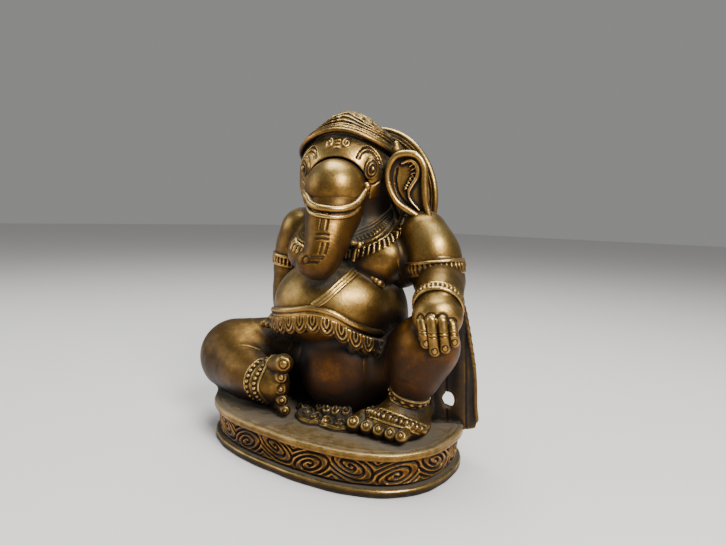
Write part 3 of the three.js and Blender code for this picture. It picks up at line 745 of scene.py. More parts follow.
def ear(name, at, outward, out):
    """A leaf-shaped ear: a dished plate with a thick rolled rim, an inner scroll and feathered ribs."""
    at, outward, out = np.array(at), unit(outward), unit(out)
    clay = Clay(at - 9.5, at + 9.5, FINE)
    x, y, z = clay.grid()
    dx, dy, v = x - at[0], y - at[1], z - at[2]
    u = outward[0] * dx + outward[1] * dy + 0 * v
    w = out[0] * dx + out[1] * dy + 0 * v
    v = v + 0 * u
    edge = curve(EAR_OUTLINE, 6, closed=True)
    nearest = np.full(clay.d.shape, FAR, np.float32)
    inside = np.zeros(clay.d.shape, bool)
    for a, b in zip(edge, np.roll(edge, -1, 0)):
        nearest = np.minimum(nearest, length_of(from_line((u, v), a, b)[1]))
        if abs(b[1] - a[1]) > 1e-9:
            crossing = a[0] + (v - a[1]) * (b[0] - a[0]) / (b[1] - a[1])
            inside ^= (v >= min(a[1], b[1])) & (v < max(a[1], b[1])) & (u < crossing)
    flat = np.where(inside, -nearest, nearest)
    stamp = Stamp((-5, 5.5), (-8.5, 6.5), 0.05)
    scroll = curve([(-1.0, 3.5), (0.6, 4.1), (1.9, 3.2), (2.2, 1.2), (1.2, -0.6), (0.6, -2.0), (1.0, -3.6),
                    (2.8, -5.6)], 8)
    stamp.line(scroll, np.interp(np.linspace(0, 1, len(scroll)), [0, 0.3, 1], [0.35, 0.62, 0.3]), 0.75)
    for i in range(10):
        a, b = scroll[12 + 3 * i], scroll[12 + 3 * i] + [-1.7 + 0.08 * i, 0.15]
        stamp.line(curve([a, (a + b) / 2 + [0, 0.45], b], 4), 0.17, 0.55)
    stamp.line(curve([(-1.9, 2.6), (-2.1, 0), (-1.3, -2.6), (0.8, -5.0)], 8), 0.2, -0.35)
    height = stamp(u, v) * (w > -0.6)
    plate = np.maximum(flat, np.abs(w + 0.6) - 0.4 - height)
    clay.d = plate.astype(np.float32)
    rim = [at + outward * a + out * 0.35 + [0, 0, b] for a, b in edge]
    clay.thread(rim, 0.72, 0.3, closed=True)
    hand_made(clay, 0.04, 3, 33)
    piece(name, clay, "ear_brass")


def make_halo():
    at, radius = HALO_AT, HALO_RADIUS
    room = np.array([radius + 1, 2.4, radius + 1])
    clay = Clay(at - room, at + room, FINE * 1.15)
    x, y, z = clay.grid()
    dx, dz = x - at[0], z - at[2]
    r = np.hypot(dx, dz)
    a = np.arctan2(dz, dx)
    petals = 16
    phase = np.cos(petals * a)
    tip = radius - 4.6 + 1.5 * np.sqrt(np.clip(0.5 + 0.5 * phase, 0, 1))
    between = smoothstep(0.5, 0.9, np.abs(np.sin(petals * a / 2))) * (r > radius - 7.2) * (r < radius - 4.4)
    petal = 0.5 * smoothstep(0.45, 0.1, np.abs(r - tip)) + 0.35 * between
    inner = 0.5 * smoothstep(0.5, 0.15, np.abs(r - (radius - 7.6)))
    swirl = 0.4 * smoothstep(0.2, 0.75, np.sin(10 * a + 1.3 * r)) * (r < radius - 8) * (r > 3)
    d = np.maximum(r - (radius - 0.9), np.abs(y - at[1]) - 0.75)
    clay.d = (d - np.maximum.reduce([petal, inner, swirl])).astype(np.float32)
    hand_made(clay, 0.04, 4, 35)
    piece("halo_disc", clay, "halo_brass")

    rim = Clay(at - room, at + room, FINE * 1.15)
    angles = np.linspace(0, 2 * math.pi, 96, endpoint=False)
    ring = lambda rr, w=0.0: [at + [rr * math.cos(t), w, rr * math.sin(t)] for t in angles]
    rim.thread(ring(radius - 0.7), 0.72, closed=True)
    rim.thread(ring(radius - 1.9, -0.55), 0.36, 0.2, closed=True)
    rim.thread(ring(radius - 1.35), 0.6, 0.2, closed=True)
    piece("halo_rim", rim, "polished_brass")


# ---------------------------------------------------------------- arms and hands
def girdle(masses, at, matrix, proud, count=56):
    """A closed line round the masses where a turned plane through `at` meets their surface."""
    a = np.linspace(0, 2 * math.pi, count, endpoint=False)
    along = np.stack([np.cos(a), np.sin(a), 0 * a], 1) @ matrix.T
    r = np.arange(0.6, 11.0, 0.05)  # how far out the surface is looked for
    p = np.array(at)[None, None] + along[:, None] * r[None, :, None]
    flat = p.reshape(-1, 3)
    d = [m.sample(flat) if isinstance(m, Clay) else m.distance(*flat.T) for m in masses]
    outside = np.min(d, 0).reshape(p.shape[:2]) > 0
    edge = r[np.where(outside.any(1), outside.argmax(1), len(r) - 1)]
    return np.array(at) + along * (edge + proud)[:, None]


def band_on(name, masses, at, matrix, tall, count):
    """A ribbed band between two hoops, fitted round a limb."""
    axis = matrix @ np.array([0, 0, 1.0])
    clay = Clay(np.array(at) - 8, np.array(at) + 8, FINE)
    top = girdle(masses, at + axis * tall / 2, matrix, 0.15, count * 2)
    low = girdle(masses, at - axis * tall / 2, matrix, 0.15, count * 2)
    middle = (top + low) / 2
    out = unit(middle - at)
    clay.thread(middle - out * 0.7, tall * 0.4, closed=True)
    for edge in (top, low):
        clay.thread(edge, 0.4, 0.1, closed=True)
    for i in range(0, count * 2, 2):
        bar = [top[i] * 0.8 + low[i] * 0.2, middle[i] + out[i] * 0.15, low[i] * 0.8 + top[i] * 0.2]
        clay.thread(bar, 0.36, 0.05)
    piece(name, clay, "polished_brass")


def make_arms():
    for name, seed in (("left_upper_arm", 41), ("right_upper_arm", 42)):
        clay = hand_made(start(name, margin=5), 0.06, 7, seed)
        clay.flow([MASS["chest"], MASS["left_breast"], MASS["armpit"]], 1.7)
        piece(name, clay, "polished_brass")
    for name, seed in (("left_forearm", 43), ("right_forearm", 44)):
        clay = hand_made(start(name, margin=2), 0.05, 5, seed)
        clay.flow([MASS[name.replace("forearm", "upper_arm")]], 1.2)
        piece(name, clay, "aged_brass")
    band_on("left_armlet", [MASS["left_upper_arm"]], [21.4, 4.4, 40.3], turn(roll=-8), 2.3, 34)
    band_on("right_armlet", [MASS["right_upper_arm"]], [-16.2, 4.9, 39.2], turn(roll=8), 2.1, 32)
    wrist = turn(yaw=24) @ turn(pitch=118)
    band_on("left_bracelet", [MASS["left_forearm"], MASS["left_hand"]], [26.3, -4.0, 33.6], wrist, 1.4, 40)


# The left hand hangs over the knee: each finger's knuckle and tip
ACROSS = unit([0.85, 0.52, 0.0])
FINGERS = {
    "index": ((26.1, -9.3, 32.0), (27.1, -9.4, 28.3)),
    "middle": ((27.9, -9.3, 32.5), (28.6, -9.0, 27.1)),
    "ring": ((29.5, -8.4, 32.4), (30.1, -8.1, 27.7)),
    "little": ((30.8, -7.2, 31.7), (31.3, -7.0, 28.8)),
}


def nail(clay, at, out, size, depth):
    """An oval nail: a ring groove with a slightly domed middle."""
    side = unit(np.cross(out, [0, 0, 1.0]))
    up = np.cross(side, out)
    ring = [at + side * size * math.cos(a) + up * size * 1.05 * math.sin(a)
            for a in np.linspace(0, 2 * math.pi, 14)]
    clay.score(ring, depth, 0.08)


def make_hands():
    hand = clay_round(MASS["left_hand"], 2).add(MASS["left_hand"])
    hand_made(hand, 0.04, 3.5, 51)
    for base, tip in FINGERS.values():
        top = np.array(base) + [0, 0, 0.55]
        arch = [top + ACROSS * 0.85 * math.cos(a) + np.array([0, -0.1, 0.75]) * math.sin(a)
                for a in np.linspace(0.1, 3.04, 8)]
        hand.score(arch, 0.2)
    hand.flow([MASS["left_forearm"]], 0.6)
    piece("left_hand", hand, "hand_brass")

    out = np.array([0.5, -0.86, 0.1])
    for name, (base, tip) in FINGERS.items():
        base, tip = np.array(base), np.array(tip)
        mid = base * 0.55 + tip * 0.45 + out * 0.35
        shape = limb([(*base, 1.0), (*mid, 0.97), (*tip, 1.0)], 5)
        clay = clay_round(shape, 0.8, 0.1 * COARSE).add(shape)
        for level in (0.42, 0.54):
            joint = base * (1 - level) + tip * level + out * 0.3
            arc = [joint + ACROSS * math.cos(a) + out * math.sin(a) for a in np.linspace(0.5, 2.6, 7)]
            clay.score(arc, 0.1, 0.08)
        nail(clay, tip + out * 0.9, out, 0.58, 0.13)
        piece("left_" + name + "_finger", clay, "finger_brass")
    thumb = limb([(25.1, -6.0, 31.8, 1.2), (25.2, -7.2, 30.2, 1.1), (25.9, -8.0, 28.8, 1.0)], 5)
    clay = clay_round(thumb, 1, 0.13 * COARSE).add(thumb)
    piece("left_thumb", clay, "finger_brass")

    stops = [(-14.4, 0.9, 27.4, 2.7), (-13.7, -1.4, 26.8, 2.9), (-13.2, -3.6, 26.2, 2.6)]
    palm = limb(stops, 5, [0, 0.3, 1], 1.8)
    hand = clay_round(palm, 1, FINE * 1.3).add(palm)
    for i in range(4):
        s = (i - 1.5) * 1.25
        hand.add(limb([(-13.2 + s, -3.6, 26.2, 0.85), (-13.0 + s * 1.1, -6.6, 25.4, 0.8)]), 0.15)
    piece("right_hand", hand, "aged_brass")


# ---------------------------------------------------------------- legs and feet
def make_legs():
    joins = {
        "left_thigh": (["seat", "lower_belly", "left_shin"], 2.0, "knee_brass"),
        "left_shin": (["left_thigh"], 2.0, "knee_brass"),
        "right_thigh": (["seat", "lower_belly", "right_shin", "plinth"], 2.0, "thigh_brass"),
        "right_shin": (["right_thigh", "plinth"], 2.2, "thigh_brass"),
    }
    for i, (name, (others, k, slot)) in enumerate(joins.items()):
        clay = hand_made(start(name, margin=1.3 * k + 0.6), 0.07, 7, 61 + i)
        clay.flow([MASS[o] for o in others], k)
        floor_cut(clay)
        piece(name, clay, slot)


TOES_LEFT = [(12.6, 1.7), (15.6, 1.5), (18.3, 1.45), (20.8, 1.35), (23.0, 1.25)]
TOES_RIGHT = [((-3.2, -12.7, 19.9), 2.0), ((-4.0, -12.5, 16.9), 1.5), ((-4.2, -12.4, 14.3), 1.4),
              ((-3.9, -12.3, 12.0), 1.3), ((-3.0, -12.3, 10.0), 1.15)]
LEFT_SOLE = ball([18.6, -3.6, 10.4], [6.6, 6.4, 3.2])


def make_left_foot():
    instep = limb([(19.6, 1.0, 11.6, 3.4), (19.4, -2.2, 13.2, 3.6), (18.8, -5.6, 11.4, 3.2)])
    clay = Clay([10.2, -13.5, PLINTH_TOP - 1], [27.6, 5.5, 18.5], FINE)
    clay.add(instep).add(LEFT_SOLE, 2.0)
    hand_made(clay, 0.05, 4, 71)
    for x, r in TOES_LEFT:
        clay.add(limb([(x + 0.04 * (18.5 - x), -6.4, 10.6, r), (x, -9.5, 10.3, r)]), 0.12)
    for x, r in TOES_LEFT:
        nail(clay, (x + 0.3, -9.5 - 0.8 * r, 10.4 + 0.6 * r), np.array([0.25, -0.8, 0.55]), 0.55 * r, 0.19)
        arc = [(x + r * math.cos(a), -7.6, 10.4 + r * math.sin(a)) for a in np.linspace(0.3, 2.84, 8)]
        clay.score(arc, 0.2)
    clay.flow([MASS["left_shin"]], 1.0)
    floor_cut(clay)
    piece("left_foot", clay, "foot_brass")
    return clay


def make_right_foot():
    clay = Clay([-14, -17, 8], [1.5, -6.5, 23.5], FINE)
    stops = [(-10.2, -10.9, 14.4, 3.9), (-8.6, -11.1, 14.6, 4.4), (-7.6, -11.3, 14.9, 4.7)]
    clay.add(limb(stops, 5, [0.2, 1, 0], 1.6))
    hand_made(clay, 0.05, 4, 72)
    for at, r in TOES_RIGHT:
        x, y, z = at
        clay.add(limb([(x - 3.4, y + 1.2, 14.6 + 0.75 * (z - 14.6), r), (x, y, z, r)]), 0.1)
    for at, r in TOES_RIGHT:
        out = np.array([0.66, -0.74, 0.12])
        nail(clay, np.array(at) + out * r, out, 0.56 * r, 0.19)
    clay.flow([MASS["right_shin"]], 0.8)
    floor_cut(clay, PLINTH_TOP - 0.2)
    piece("right_foot", clay, "foot_brass")
    return clay


def make_leg_rings(left_foot, right_foot):
    sideways = turn(yaw=-14) @ turn(roll=90)
    rings = (
        ("left_anklet", "foot_brass", left_foot, [20.3, -1.4, 15.7], turn(roll=14), 18, (0.0,), 0.55),
        ("right_anklet", "cloth_brass", right_foot, [-7.9, -11.2, 14.6], sideways, 26, (0.0, -2.0), 0.44),
    )
    for name, look, foot, at, matrix, count, rows, size in rings:
        masses = [MASS[name.replace("anklet", "shin")], foot]
        axis = matrix @ np.array([0, 0, 1.0])
        clay = Clay(np.array(at) - 8, np.array(at) + 8, FINE)
        for row in rows:
            middle = np.array(at) + axis * row
            clay.add(clay.beads(girdle(masses, middle, matrix, 0.1, count), size), 0.1)
            for s in (-0.8, 0.8):
                clay.thread(girdle(masses, middle + axis * s, matrix, 0.0), 0.3, 0.1, closed=True)
        core = girdle(masses, np.array(at) + axis * np.mean(rows), matrix, -0.3)
        clay.thread(core, 0.5, 0.3, closed=True)
        floor_cut(clay)
        piece(name, clay, look)

    stops = [(13.2, -5.8, 10.6), (14.4, -7.1, 11.9), (16.6, -8.1, 12.7), (19.0, -8.5, 12.8),
             (21.6, -8.1, 12.4), (23.8, -7.0, 11.8), (25.4, -5.2, 10.8)]
    path = left_foot.settle(curve(stops, 8))
    band = clay_round(path, 2)
    band.thread(path - [0, -0.1, 0.25], 0.75)
    back = left_foot.settle(path + [0, 1.0, 0.55], 0.1)
    front = left_foot.settle(path + [0, -0.85, -0.6], 0.1)
    for edge in (back, front):
        band.thread(edge, 0.28, 0.05)
    for i in range(3, len(path) - 3, 3):
        crest = left_foot.settle([(back[i] + front[i]) / 2], 0.62)[0]
        bar = [back[i] * 0.8 + front[i] * 0.2, crest, back[i] * 0.2 + front[i] * 0.8]
        band.thread(bar, 0.34, 0.04)
    floor_cut(band)
    piece("left_instep_band", band, "foot_brass")


# ---------------------------------------------------------------- dress and ornaments
def belly_point(bearing, z, proud=0.0):
    return on_ball(BELLY, BELLY_HALF, bearing, z, proud)


def make_belt():
    bearings = np.arange(-180, 181, 4)
    line = np.array([belly_point(b, roll_level(b), 0.35) for b in bearings])
    roll = clay_round(line, 2.5, FINE * 1.2)
    roll.thread(line, 0.62)
    low = np.array([belly_point(b, roll_level(b) - 1.05, 0.4) for b in bearings])
    roll.thread(low, 0.42, 0.12)
    piece("belt_roll", roll, "polished_brass")

    fringe = Clay([BELLY[0] - 16, BELLY[1] - 16, 19.5], [BELLY[0] + 16, BELLY[1] + 16, 32.5], FINE * 1.25)
    x, y, z = fringe.grid()
    bearing = bearing_of(x, y, BELLY)
    drop = roll_level(bearing) - 1.2 - z
    radius, leaves, depth = 13.0, 30, 3.9
    s = np.radians(bearing) * radius
    pitch = 2 * math.pi * radius / leaves
    stamp = Stamp((0, pitch), (-0.5, depth + 0.6), wrap=True)
    mid = pitch / 2
    for width, reach, thick in ((0.9, 2.9, 0.27), (0.35, 2.0, 0.22)):
        leaf = [(mid - width, 0.2), (mid - width, reach * 0.6), (mid, reach),
                (mid + width, reach * 0.6), (mid + width, 0.2)]
        stamp.line(curve(leaf, 8), thick, 0.42)
    for edge in (0.0, pitch):
        stamp.line([(edge, 0.2), (edge, 2.5)], 0.24, 0.38)
    relief = stamp(s, drop)
    hem = 3.0 + 0.75 * np.abs(np.sin(math.pi * s / pitch))
    body = MASS["upper_belly"].distance(x, y, np.maximum(z, BELLY[2] - 0.30 * (BELLY[2] - z)))
    shell = np.maximum(body - 0.42 - relief, -body - 2.4)
    fringe.d = smooth_max(smooth_max(shell, -drop, 0.2), drop - hem, 0.35).astype(np.float32)
    piece("belt_fringe", fringe, "aged_brass")


def make_cords():
    stops = [(62, 39.0), (52, 38.1), (42, 36.9), (33, 35.3), (25, 33.7), (18, 32.5)]
    path = curve([belly_point(b, z, 0.1) for b, z in stops], 8)
    side = np.cross(unit(np.gradient(path, axis=0)), unit(path - BELLY))
    clay = clay_round(path, 2.5)
    spread = np.linspace(0.7, 0.55, len(path))[:, None]
    for k in (-1, 0, 1):
        clay.thread(path + side * spread * k, 0.34, 0.06)
    piece("sacred_thread", clay, "polished_brass")

    stops = [(74, 39.4), (77, 38.5), (81, 37.5), (86, 36.4)]
    path = curve([belly_point(b, z, 0.25) for b, z in stops], 6)
    clay = clay_round(path, 2)
    clay.thread(path, 0.75).add(clay.beads(path[1::3], 0.95), 0.08)
    piece("beaded_strap", clay, "polished_brass")


def make_necklace():
    clay = Clay([-17, -8.5, 39.5], [19, 13.5, 56.0], FINE * 1.05)
    d = clay.d
    for name in ("neck", "chest", "left_breast", "right_breast", "left_upper_arm", "right_upper_arm"):
        d = smooth_min(d, clay.field(MASS[name]), 1.7 if name.endswith("arm") else 1.2)
    x, y, z = clay.grid()
    height = z - 0.48 * y - 0.25 * np.abs(x - 0.8) - 44.1
    around = np.radians(bearing_of(x, y, [0.8, 5.5])) * 13.5
    ends = np.maximum(x - 15.2, -9.5 - x) + 0 * z
    lines = 0.24 * (0.5 + 0.5 * np.cos(2 * math.pi * height / 0.56))
    twist = 0.3 * (0.5 + 0.5 * np.sin(2 * math.pi * around / 0.8 + 5 * height))
    relief = np.where((height > 1.1) & (height < 1.65), twist, lines)
    collar = np.maximum(d - 0.25 - relief, -d - 1.2)
    collar = smooth_max(smooth_max(collar, 0.1 - height, 0.15), height - 3.2, 0.3)
    clay.d = smooth_max(collar, ends, 0.6).astype(np.float32)
    piece("necklace_collar", clay, "dark_patina_brass")

    bars = Clay([-17, -8.5, 39.5], [19, 13.5, 56.0], FINE * 1.05)
    teeth = 0.55 * smoothstep(-0.7, 0.3, np.cos(2 * math.pi * (around - 0.15 * height) / 0.9))
    cord = 0.4 * smoothstep(0.24, 0.06, np.abs(height + 0.15))
    shell = np.maximum(d - 0.1 - np.maximum(teeth * (height < -0.3), cord), -d - 1.0)
    shell = smooth_max(smooth_max(shell, height, 0.1), -1.85 - height, 0.15)
    bars.d = smooth_max(shell, ends, 0.6).astype(np.float32)
    piece("necklace_bars", bars, "polished_brass")

    at = np.array([8.7, -4.4, 44.2])
    bow = Clay(at - 5, at + 5, FINE)
    bow.add(ball(at, [0.9, 0.9, 0.9]))
    side = np.array([0.64, 0.77, 0])
    for s in (-1, 1):
        bow.add(ball(at + side * s * 1.4 + [0, 0, 0.45], [1.15, 0.7, 0.65], turn(yaw=50)), 0.25)
        tail = [at + side * s * 0.4, at + side * s * 0.8 + [0.1, -0.1, -1.4],
                at + side * s * 1.1 + [0.2, -0.1, -2.9]]
        bow.thread(curve(tail, 5), 0.42, 0.2)
    piece("pendant_bow", bow, "polished_brass")


def make_shawl():
    stops = [(24.9, 4.6, 32.8, 2.6), (25.6, 5.4, 27.0, 3.0), (25.6, 6.6, 19.0, 4.0), (24.9, 7.6, 12.0, 4.8),
             (24.9, 8.2, 8.9, 5.0)]
    face = np.array([0.57, -0.82, 0.0])
    across = np.array([0.82, 0.57, 0.0])
    sheet = limb(stops, 5, face, 4.5)
    clay = clay_round(sheet, 1)
    x, y, z = clay.grid()
    u = across[0] * (x - 25.3) + across[1] * (y - 6.2)
    fold = 0.32 * np.sin(1.1 * u + 0.1 * (z - 20)) * smoothstep(34, 24, z) + 0.18 * wobble(x, y, z, 6, 83)
    line = 0.25 * smoothstep(0.93, 1.0, np.cos(1.6 * u + 0.12 * z)) * smoothstep(31, 26, z)
    shifted = sheet.distance(x - face[0] * fold, y - face[1] * fold, z)
    clay.d = (shifted + line + 0.04 * wobble(x, y, z, 3, 81)).astype(np.float32)
    path = curve([s[:3] for s in stops], 8)
    width = curve([(s[3],) for s in stops], 8)
    edge = path + across * (width - 0.25)
    clay.thread(edge, 0.6, 0.3)
    clay.add(clay.beads(edge[2:16:2], 0.7), 0.1)
    clay.cut(ball([24.2, 7.8, 13.6], [1.5, 2.6, 2.2]), 0.5)
    floor_cut(clay, PLINTH_TOP - 1.3)
    piece("shawl_drape", clay, "shawl_brass")


def make_fan():
    at = np.array([4.6, -1.6])
    clay = Clay([-9, -15, PLINTH_TOP - 0.6], [17, 1, PLINTH_TOP + 4.4], FINE)
    x, y, z = clay.grid()
    dx, dy = x - at[0], y - at[1]
    r = np.hypot(dx, dy)
    a = np.arctan2(dy, dx)
    scallops = np.abs(np.cos(a * 3.4 + 0.4))
    edge = 9.9 + 1.3 * scallops
    curls = np.zeros(np.broadcast(x, y).shape)
    for i in range(7):
        b = math.radians(-168 + 20 * i)
        for reach, size, way in ((8.6, 1.15, 1), (6.1, 1.0, -1)):
            centre = at + [reach * math.cos(b + 0.12 * way), reach * math.sin(b + 0.12 * way)]
            rr = np.hypot(x - centre[0], y - centre[1])
            spin = np.arctan2(y - centre[1], x - centre[0]) * way
            coil = 0.5 + 0.5 * np.cos(2 * math.pi * rr / 0.78 + spin + i)
            curls = np.maximum(curls, coil * smoothstep(size + 0.25, size - 0.15, rr))
    top = PLINTH_TOP + 0.6 + 0.85 * curls + 3.4 * smoothstep(9.0, 3.0, r) + 0.2 * wobble(x, y, 0 * z, 2.5, 91)
    hem = 0.4 * smoothstep(0.55, 0.1, np.abs(r - edge + 0.6))
    d = np.maximum(r - edge, (z - top - hem) * 0.8)
    out = np.minimum(np.abs(np.degrees(a) + 107) - 66, 40)
    clay.d = smooth_max(d, r * np.radians(out) * 0.9, 0.4).astype(np.float32)
    floor_cut(clay)
    piece("cloth_fan", clay, "cloth_brass")


def stop_at_halo():
    """Cuts what would reach through the halo disc from in front of it."""
    gap = 0.45
    soft = {"head": 0.2, "neck": 0.2, "crown_cap": 0.2, "crown_rim": 0.2, "necklace_collar": 0.1,
            "necklace_bars": 0.1, "chest": 1.2}
    for name, clay, _ in PIECES:
        if name in soft:
            clay.keep((clay.grid()[1] - HALO_AT[1] + gap + 0 * clay.d).astype(np.float32), soft[name])


# ---------------------------------------------------------------- meshes
def far_field(step=0.55):
    """The whole figure's distances on one coarse grid, for how enclosed each point is."""
    low = np.min([c.low for _, c, _ in PIECES], 0) - 2
    high = np.max([[a[-1] for a in c.axes] for _, c, _ in PIECES], 0) + 2
    whole = Clay(low, high, step)
    for _, c, _ in PIECES:
        top = np.array([a[-1] for a in c.axes])
        part = whole.near(c.low + step, top - step)
        pick = []
        for i in range(3):
            q = (whole.axes[i][part[i]] - c.low[i]) / c.step
            k = np.clip(np.round(q).astype(int), 0, c.d.shape[i] - 1)
            pick.append(k)
        whole.d[part] = np.minimum(whole.d[part], c.d[np.ix_(*pick)])
    # The floor counts as a neighbour, so what lies near it comes out hollow and gets painted shade.
    floor_gap = 0.2
    whole.d = np.minimum(whole.d, whole.grid()[2] + 0 * whole.d + floor_gap)
    return whole


def place(name, data):
    """A new object of the scene."""
    obj = bpy.data.objects.new(name, data)
    bpy.context.scene.collection.objects.link(obj)
    return obj


# How far out each point looks for neighbouring surfaces (mm), and what each look counts
HOLLOW_LOOKS = ((0.7, 0.2), (1.4, 0.25), (2.8, 0.25), (5.5, 0.3))
RIDGE_LOOKS = ((0.35, 0.5), (0.7, 0.5))
RIDGE_GAIN = 3.2


def build_mesh(name, clay, look, whole):
    """One piece's mesh, with how enclosed (hollow) and how sharp (ridge) each point is."""
    points, quads = surface(clay)
    normals = gradient(clay, points)
    # How enclosed each point is by the whole figure and the floor; the materials darken by it: partly patina,
    # partly painted shade.
    hollow = np.zeros(len(points))
    for reach, weight in HOLLOW_LOOKS:
        room = whole.sample(points + normals * reach)
        hollow += weight * np.clip(1 - (room + 0.12) / reach, 0, 1)
    bend = np.zeros(len(points))
    for reach, weight in RIDGE_LOOKS:
        e = reach * np.eye(3)
        around = sum(clay.sample(points + s * e[i]) for i in range(3) for s in (-1, 1)) / 6
        bend += weight * np.clip((around - clay.sample(points)) / reach * RIDGE_GAIN, -1, 1)
    mesh = bpy.data.meshes.new(name)
    mesh.vertices.add(len(points))
    mesh.vertices.foreach_set("co", (points * MM + MIDDLE).astype(np.float32).ravel())
    mesh.loops.add(quads.size)
    mesh.loops.foreach_set("vertex_index", quads.astype(np.int32).ravel())
    mesh.polygons.add(len(quads))
    mesh.polygons.foreach_set("loop_start", np.arange(0, quads.size, 4, dtype=np.int32))
    mesh.update(calc_edges=True)
    mesh.polygons.foreach_set("use_smooth", np.ones(len(quads), bool))
    for label, values in (("hollow", hollow), ("ridge", bend)):
        attribute = mesh.attributes.new(label, "FLOAT", "POINT")
        attribute.data.foreach_set("value", values.astype(np.float32))
    mesh.validate()
    mesh.materials.append(MATERIALS[look])
    obj = place(name + "_cast", mesh)
    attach(obj, "root")
    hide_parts(name)
    return len(quads)


# ---------------------------------------------------------------- materials
class Nodes:
    """Short calls for building one material's node tree."""

    def __init__(self, material):
        material.use_nodes = True
        self.tree = material.node_tree
        self.tree.nodes.clear()

    def node(self, kind, inputs=None, **settings):
        made = self.tree.nodes.new(kind)
        for key, value in settings.items():
            setattr(made, key, value)
        for key, value in (inputs or {}).items():
            if isinstance(value, bpy.types.NodeSocket):
                self.tree.links.new(value, made.inputs[key])
            else:
                made.inputs[key].default_value = value
        return made

    def calc(self, operation, *values, clamp=False):
        made = self.node("ShaderNodeMath", dict(enumerate(values)), operation=operation, use_clamp=clamp)
        return made.outputs[0]

    def total(self, value, *terms, clamp=False):
        """A value plus each term's first part times its second."""
        for k, (part, factor) in enumerate(terms, 1):
            value = self.calc("MULTIPLY_ADD", part, factor, value, clamp=clamp and k == len(terms))
        return value

    def centred(self, value):
        return self.calc("SUBTRACT", value, 0.5)

    def attribute(self, name):
        return self.node("ShaderNodeAttribute", attribute_name=name).outputs["Fac"]

    def noise(self, where, size, detail=2.0, rough=0.5):
        """Noise with features about `size` millimetres across."""
        inputs = {"Vector": where, "Scale": 1 / (size * MM), "Detail": detail, "Roughness": rough}
        return self.node("ShaderNodeTexNoise", inputs).outputs["Fac"]

    def ramp(self, value, stops):
        made = self.node("ShaderNodeValToRGB", {"Fac": value})
        points = made.color_ramp.elements
        while len(points) < len(stops):
            points.new(0.5)
        for point, (at, colour) in zip(points, stops):
            point.position = at
            point.color = (*colour, 1)
        return made.outputs["Color"]

    def mix(self, share, a, b, blend="MIX"):
        made = self.node("ShaderNodeMix", {0: share, 6: a, 7: b}, data_type="RGBA", blend_type=blend)
        return made.outputs[2]


# wear_and_shade lifts or lowers the whole tone: real wear on the brighter looks, painted shade on the darker
# low looks.
def brass(name, wear_and_shade=0.0, contrast=1.0, dust=0.3, tint=(1, 1, 1), scratch=0.1,
          dusty=(0.105, 0.088, 0.060)):
    """Old cast brass: worn gold on what stands out, brown patina, dust and painted shade in what lies deep,
    painted light on what faces up and a painted warm reflection on what faces down.
    """
    material = bpy.data.materials.new(name)
    n = Nodes(material)
    where = n.node("ShaderNodeTexCoord").outputs["Object"]
    hollow, ridge = n.attribute("hollow"), n.attribute("ridge")
    broad, mottle = n.noise(where, 9, 2), n.noise(where, 1.8, 4, 0.6)
    grain = n.noise(where, 0.35, 3, 0.6)
    up = n.node("ShaderNodeSeparateXYZ", {0: n.node("ShaderNodeNewGeometry").outputs["Normal"]}).outputs[2]

    rough_grain = n.centred(grain)
    # up (the normal's height) lifts what faces up: painted light from above. hollow darkens what is enclosed:
    # partly patina, partly painted shade.
    level = n.total(0.5 + wear_and_shade, (ridge, 0.42 * contrast), (hollow, -0.85 * contrast), (up, 0.2),
                    (n.centred(broad), 0.5), (n.centred(mottle), 0.42), (rough_grain, 0.22))
    colour = n.ramp(level, [(0.08, (0.008, 0.005, 0.002)), (0.32, (0.038, 0.023, 0.007)),
                            (0.56, (0.125, 0.077, 0.020)), (0.78, (0.34, 0.222, 0.068)),
                            (1.0, (0.64, 0.455, 0.17))])
    # What faces down is tinted warm and darker: a painted warm reflection from below on painted shade.
    underside_reflection = n.total(0.45, (up, -0.9), clamp=True)
    colour = n.mix(underside_reflection, colour, (1.15, 0.80, 0.52, 1), "MULTIPLY")
    # Each look's tint; on the darker low looks it is a painted warm reflection.
    colour = n.mix(1.0, colour, (*tint, 1), "MULTIPLY")

    settled = n.total(dust - 0.8, (hollow, 0.85), (up, 0.4), (n.centred(mottle), 0.6), (rough_grain, 0.5))
    settled = n.calc("MINIMUM", n.calc("MULTIPLY", settled, 1.7, clamp=True), 0.8)
    colour = n.mix(settled, colour, (*dusty, 1))

    shine = n.ramp(level, [(0.1, (0.55, 0.55, 0.55)), (0.45, (0.85, 0.85, 0.85)), (0.7, (1, 1, 1))])
    metallic = n.calc("MULTIPLY", shine, n.total(1.0, (settled, -0.9)))
    rough = n.total(0.60, (level, -0.34), (settled, 0.35), (rough_grain, 0.22), clamp=True)
    rough = n.calc("MAXIMUM", rough, 0.25)

    cells = n.node("ShaderNodeTexVoronoi", {"Vector": where, "Scale": 1 / (0.9 * MM)}).outputs["Distance"]
    pit = n.calc("SUBTRACT", 0.24, cells, clamp=True)
    pit = n.calc("MULTIPLY", pit, n.calc("MULTIPLY", mottle, 3.5))
    height = n.calc("MULTIPLY", pit, -1.0)
    height = n.total(height, (grain, 0.6), (settled, n.calc("MULTIPLY", grain, 2.2)))
    for angles in ((0.4, 0.3, 0.6), (-0.5, 0.9, -0.7)):
        inputs = {"Vector": where, "Rotation": angles, "Scale": (1.0, 0.08, 1.0)}
        brushed = n.node("ShaderNodeMapping", inputs).outputs[0]
        height = n.total(height, (n.noise(brushed, 0.16, 2), scratch))
    bump = n.node("ShaderNodeBump", {"Height": height, "Strength": 0.6, "Distance": 0.07 * MM})

    shader = n.node("ShaderNodeBsdfPrincipled", {
        "Base Color": colour, "Metallic": metallic, "Roughness": rough, "Normal": bump.outputs[0]})
    n.node("ShaderNodeOutputMaterial", {"Surface": shader.outputs[0]})
    return material


def plain(name, colour, roughness):
    material = bpy.data.materials.new(name)
    n = Nodes(material)
    shader = n.node("ShaderNodeBsdfPrincipled", {"Base Color": (*colour, 1), "Roughness": roughness})
    n.node("ShaderNodeOutputMaterial", {"Surface": shader.outputs[0]})
    return material


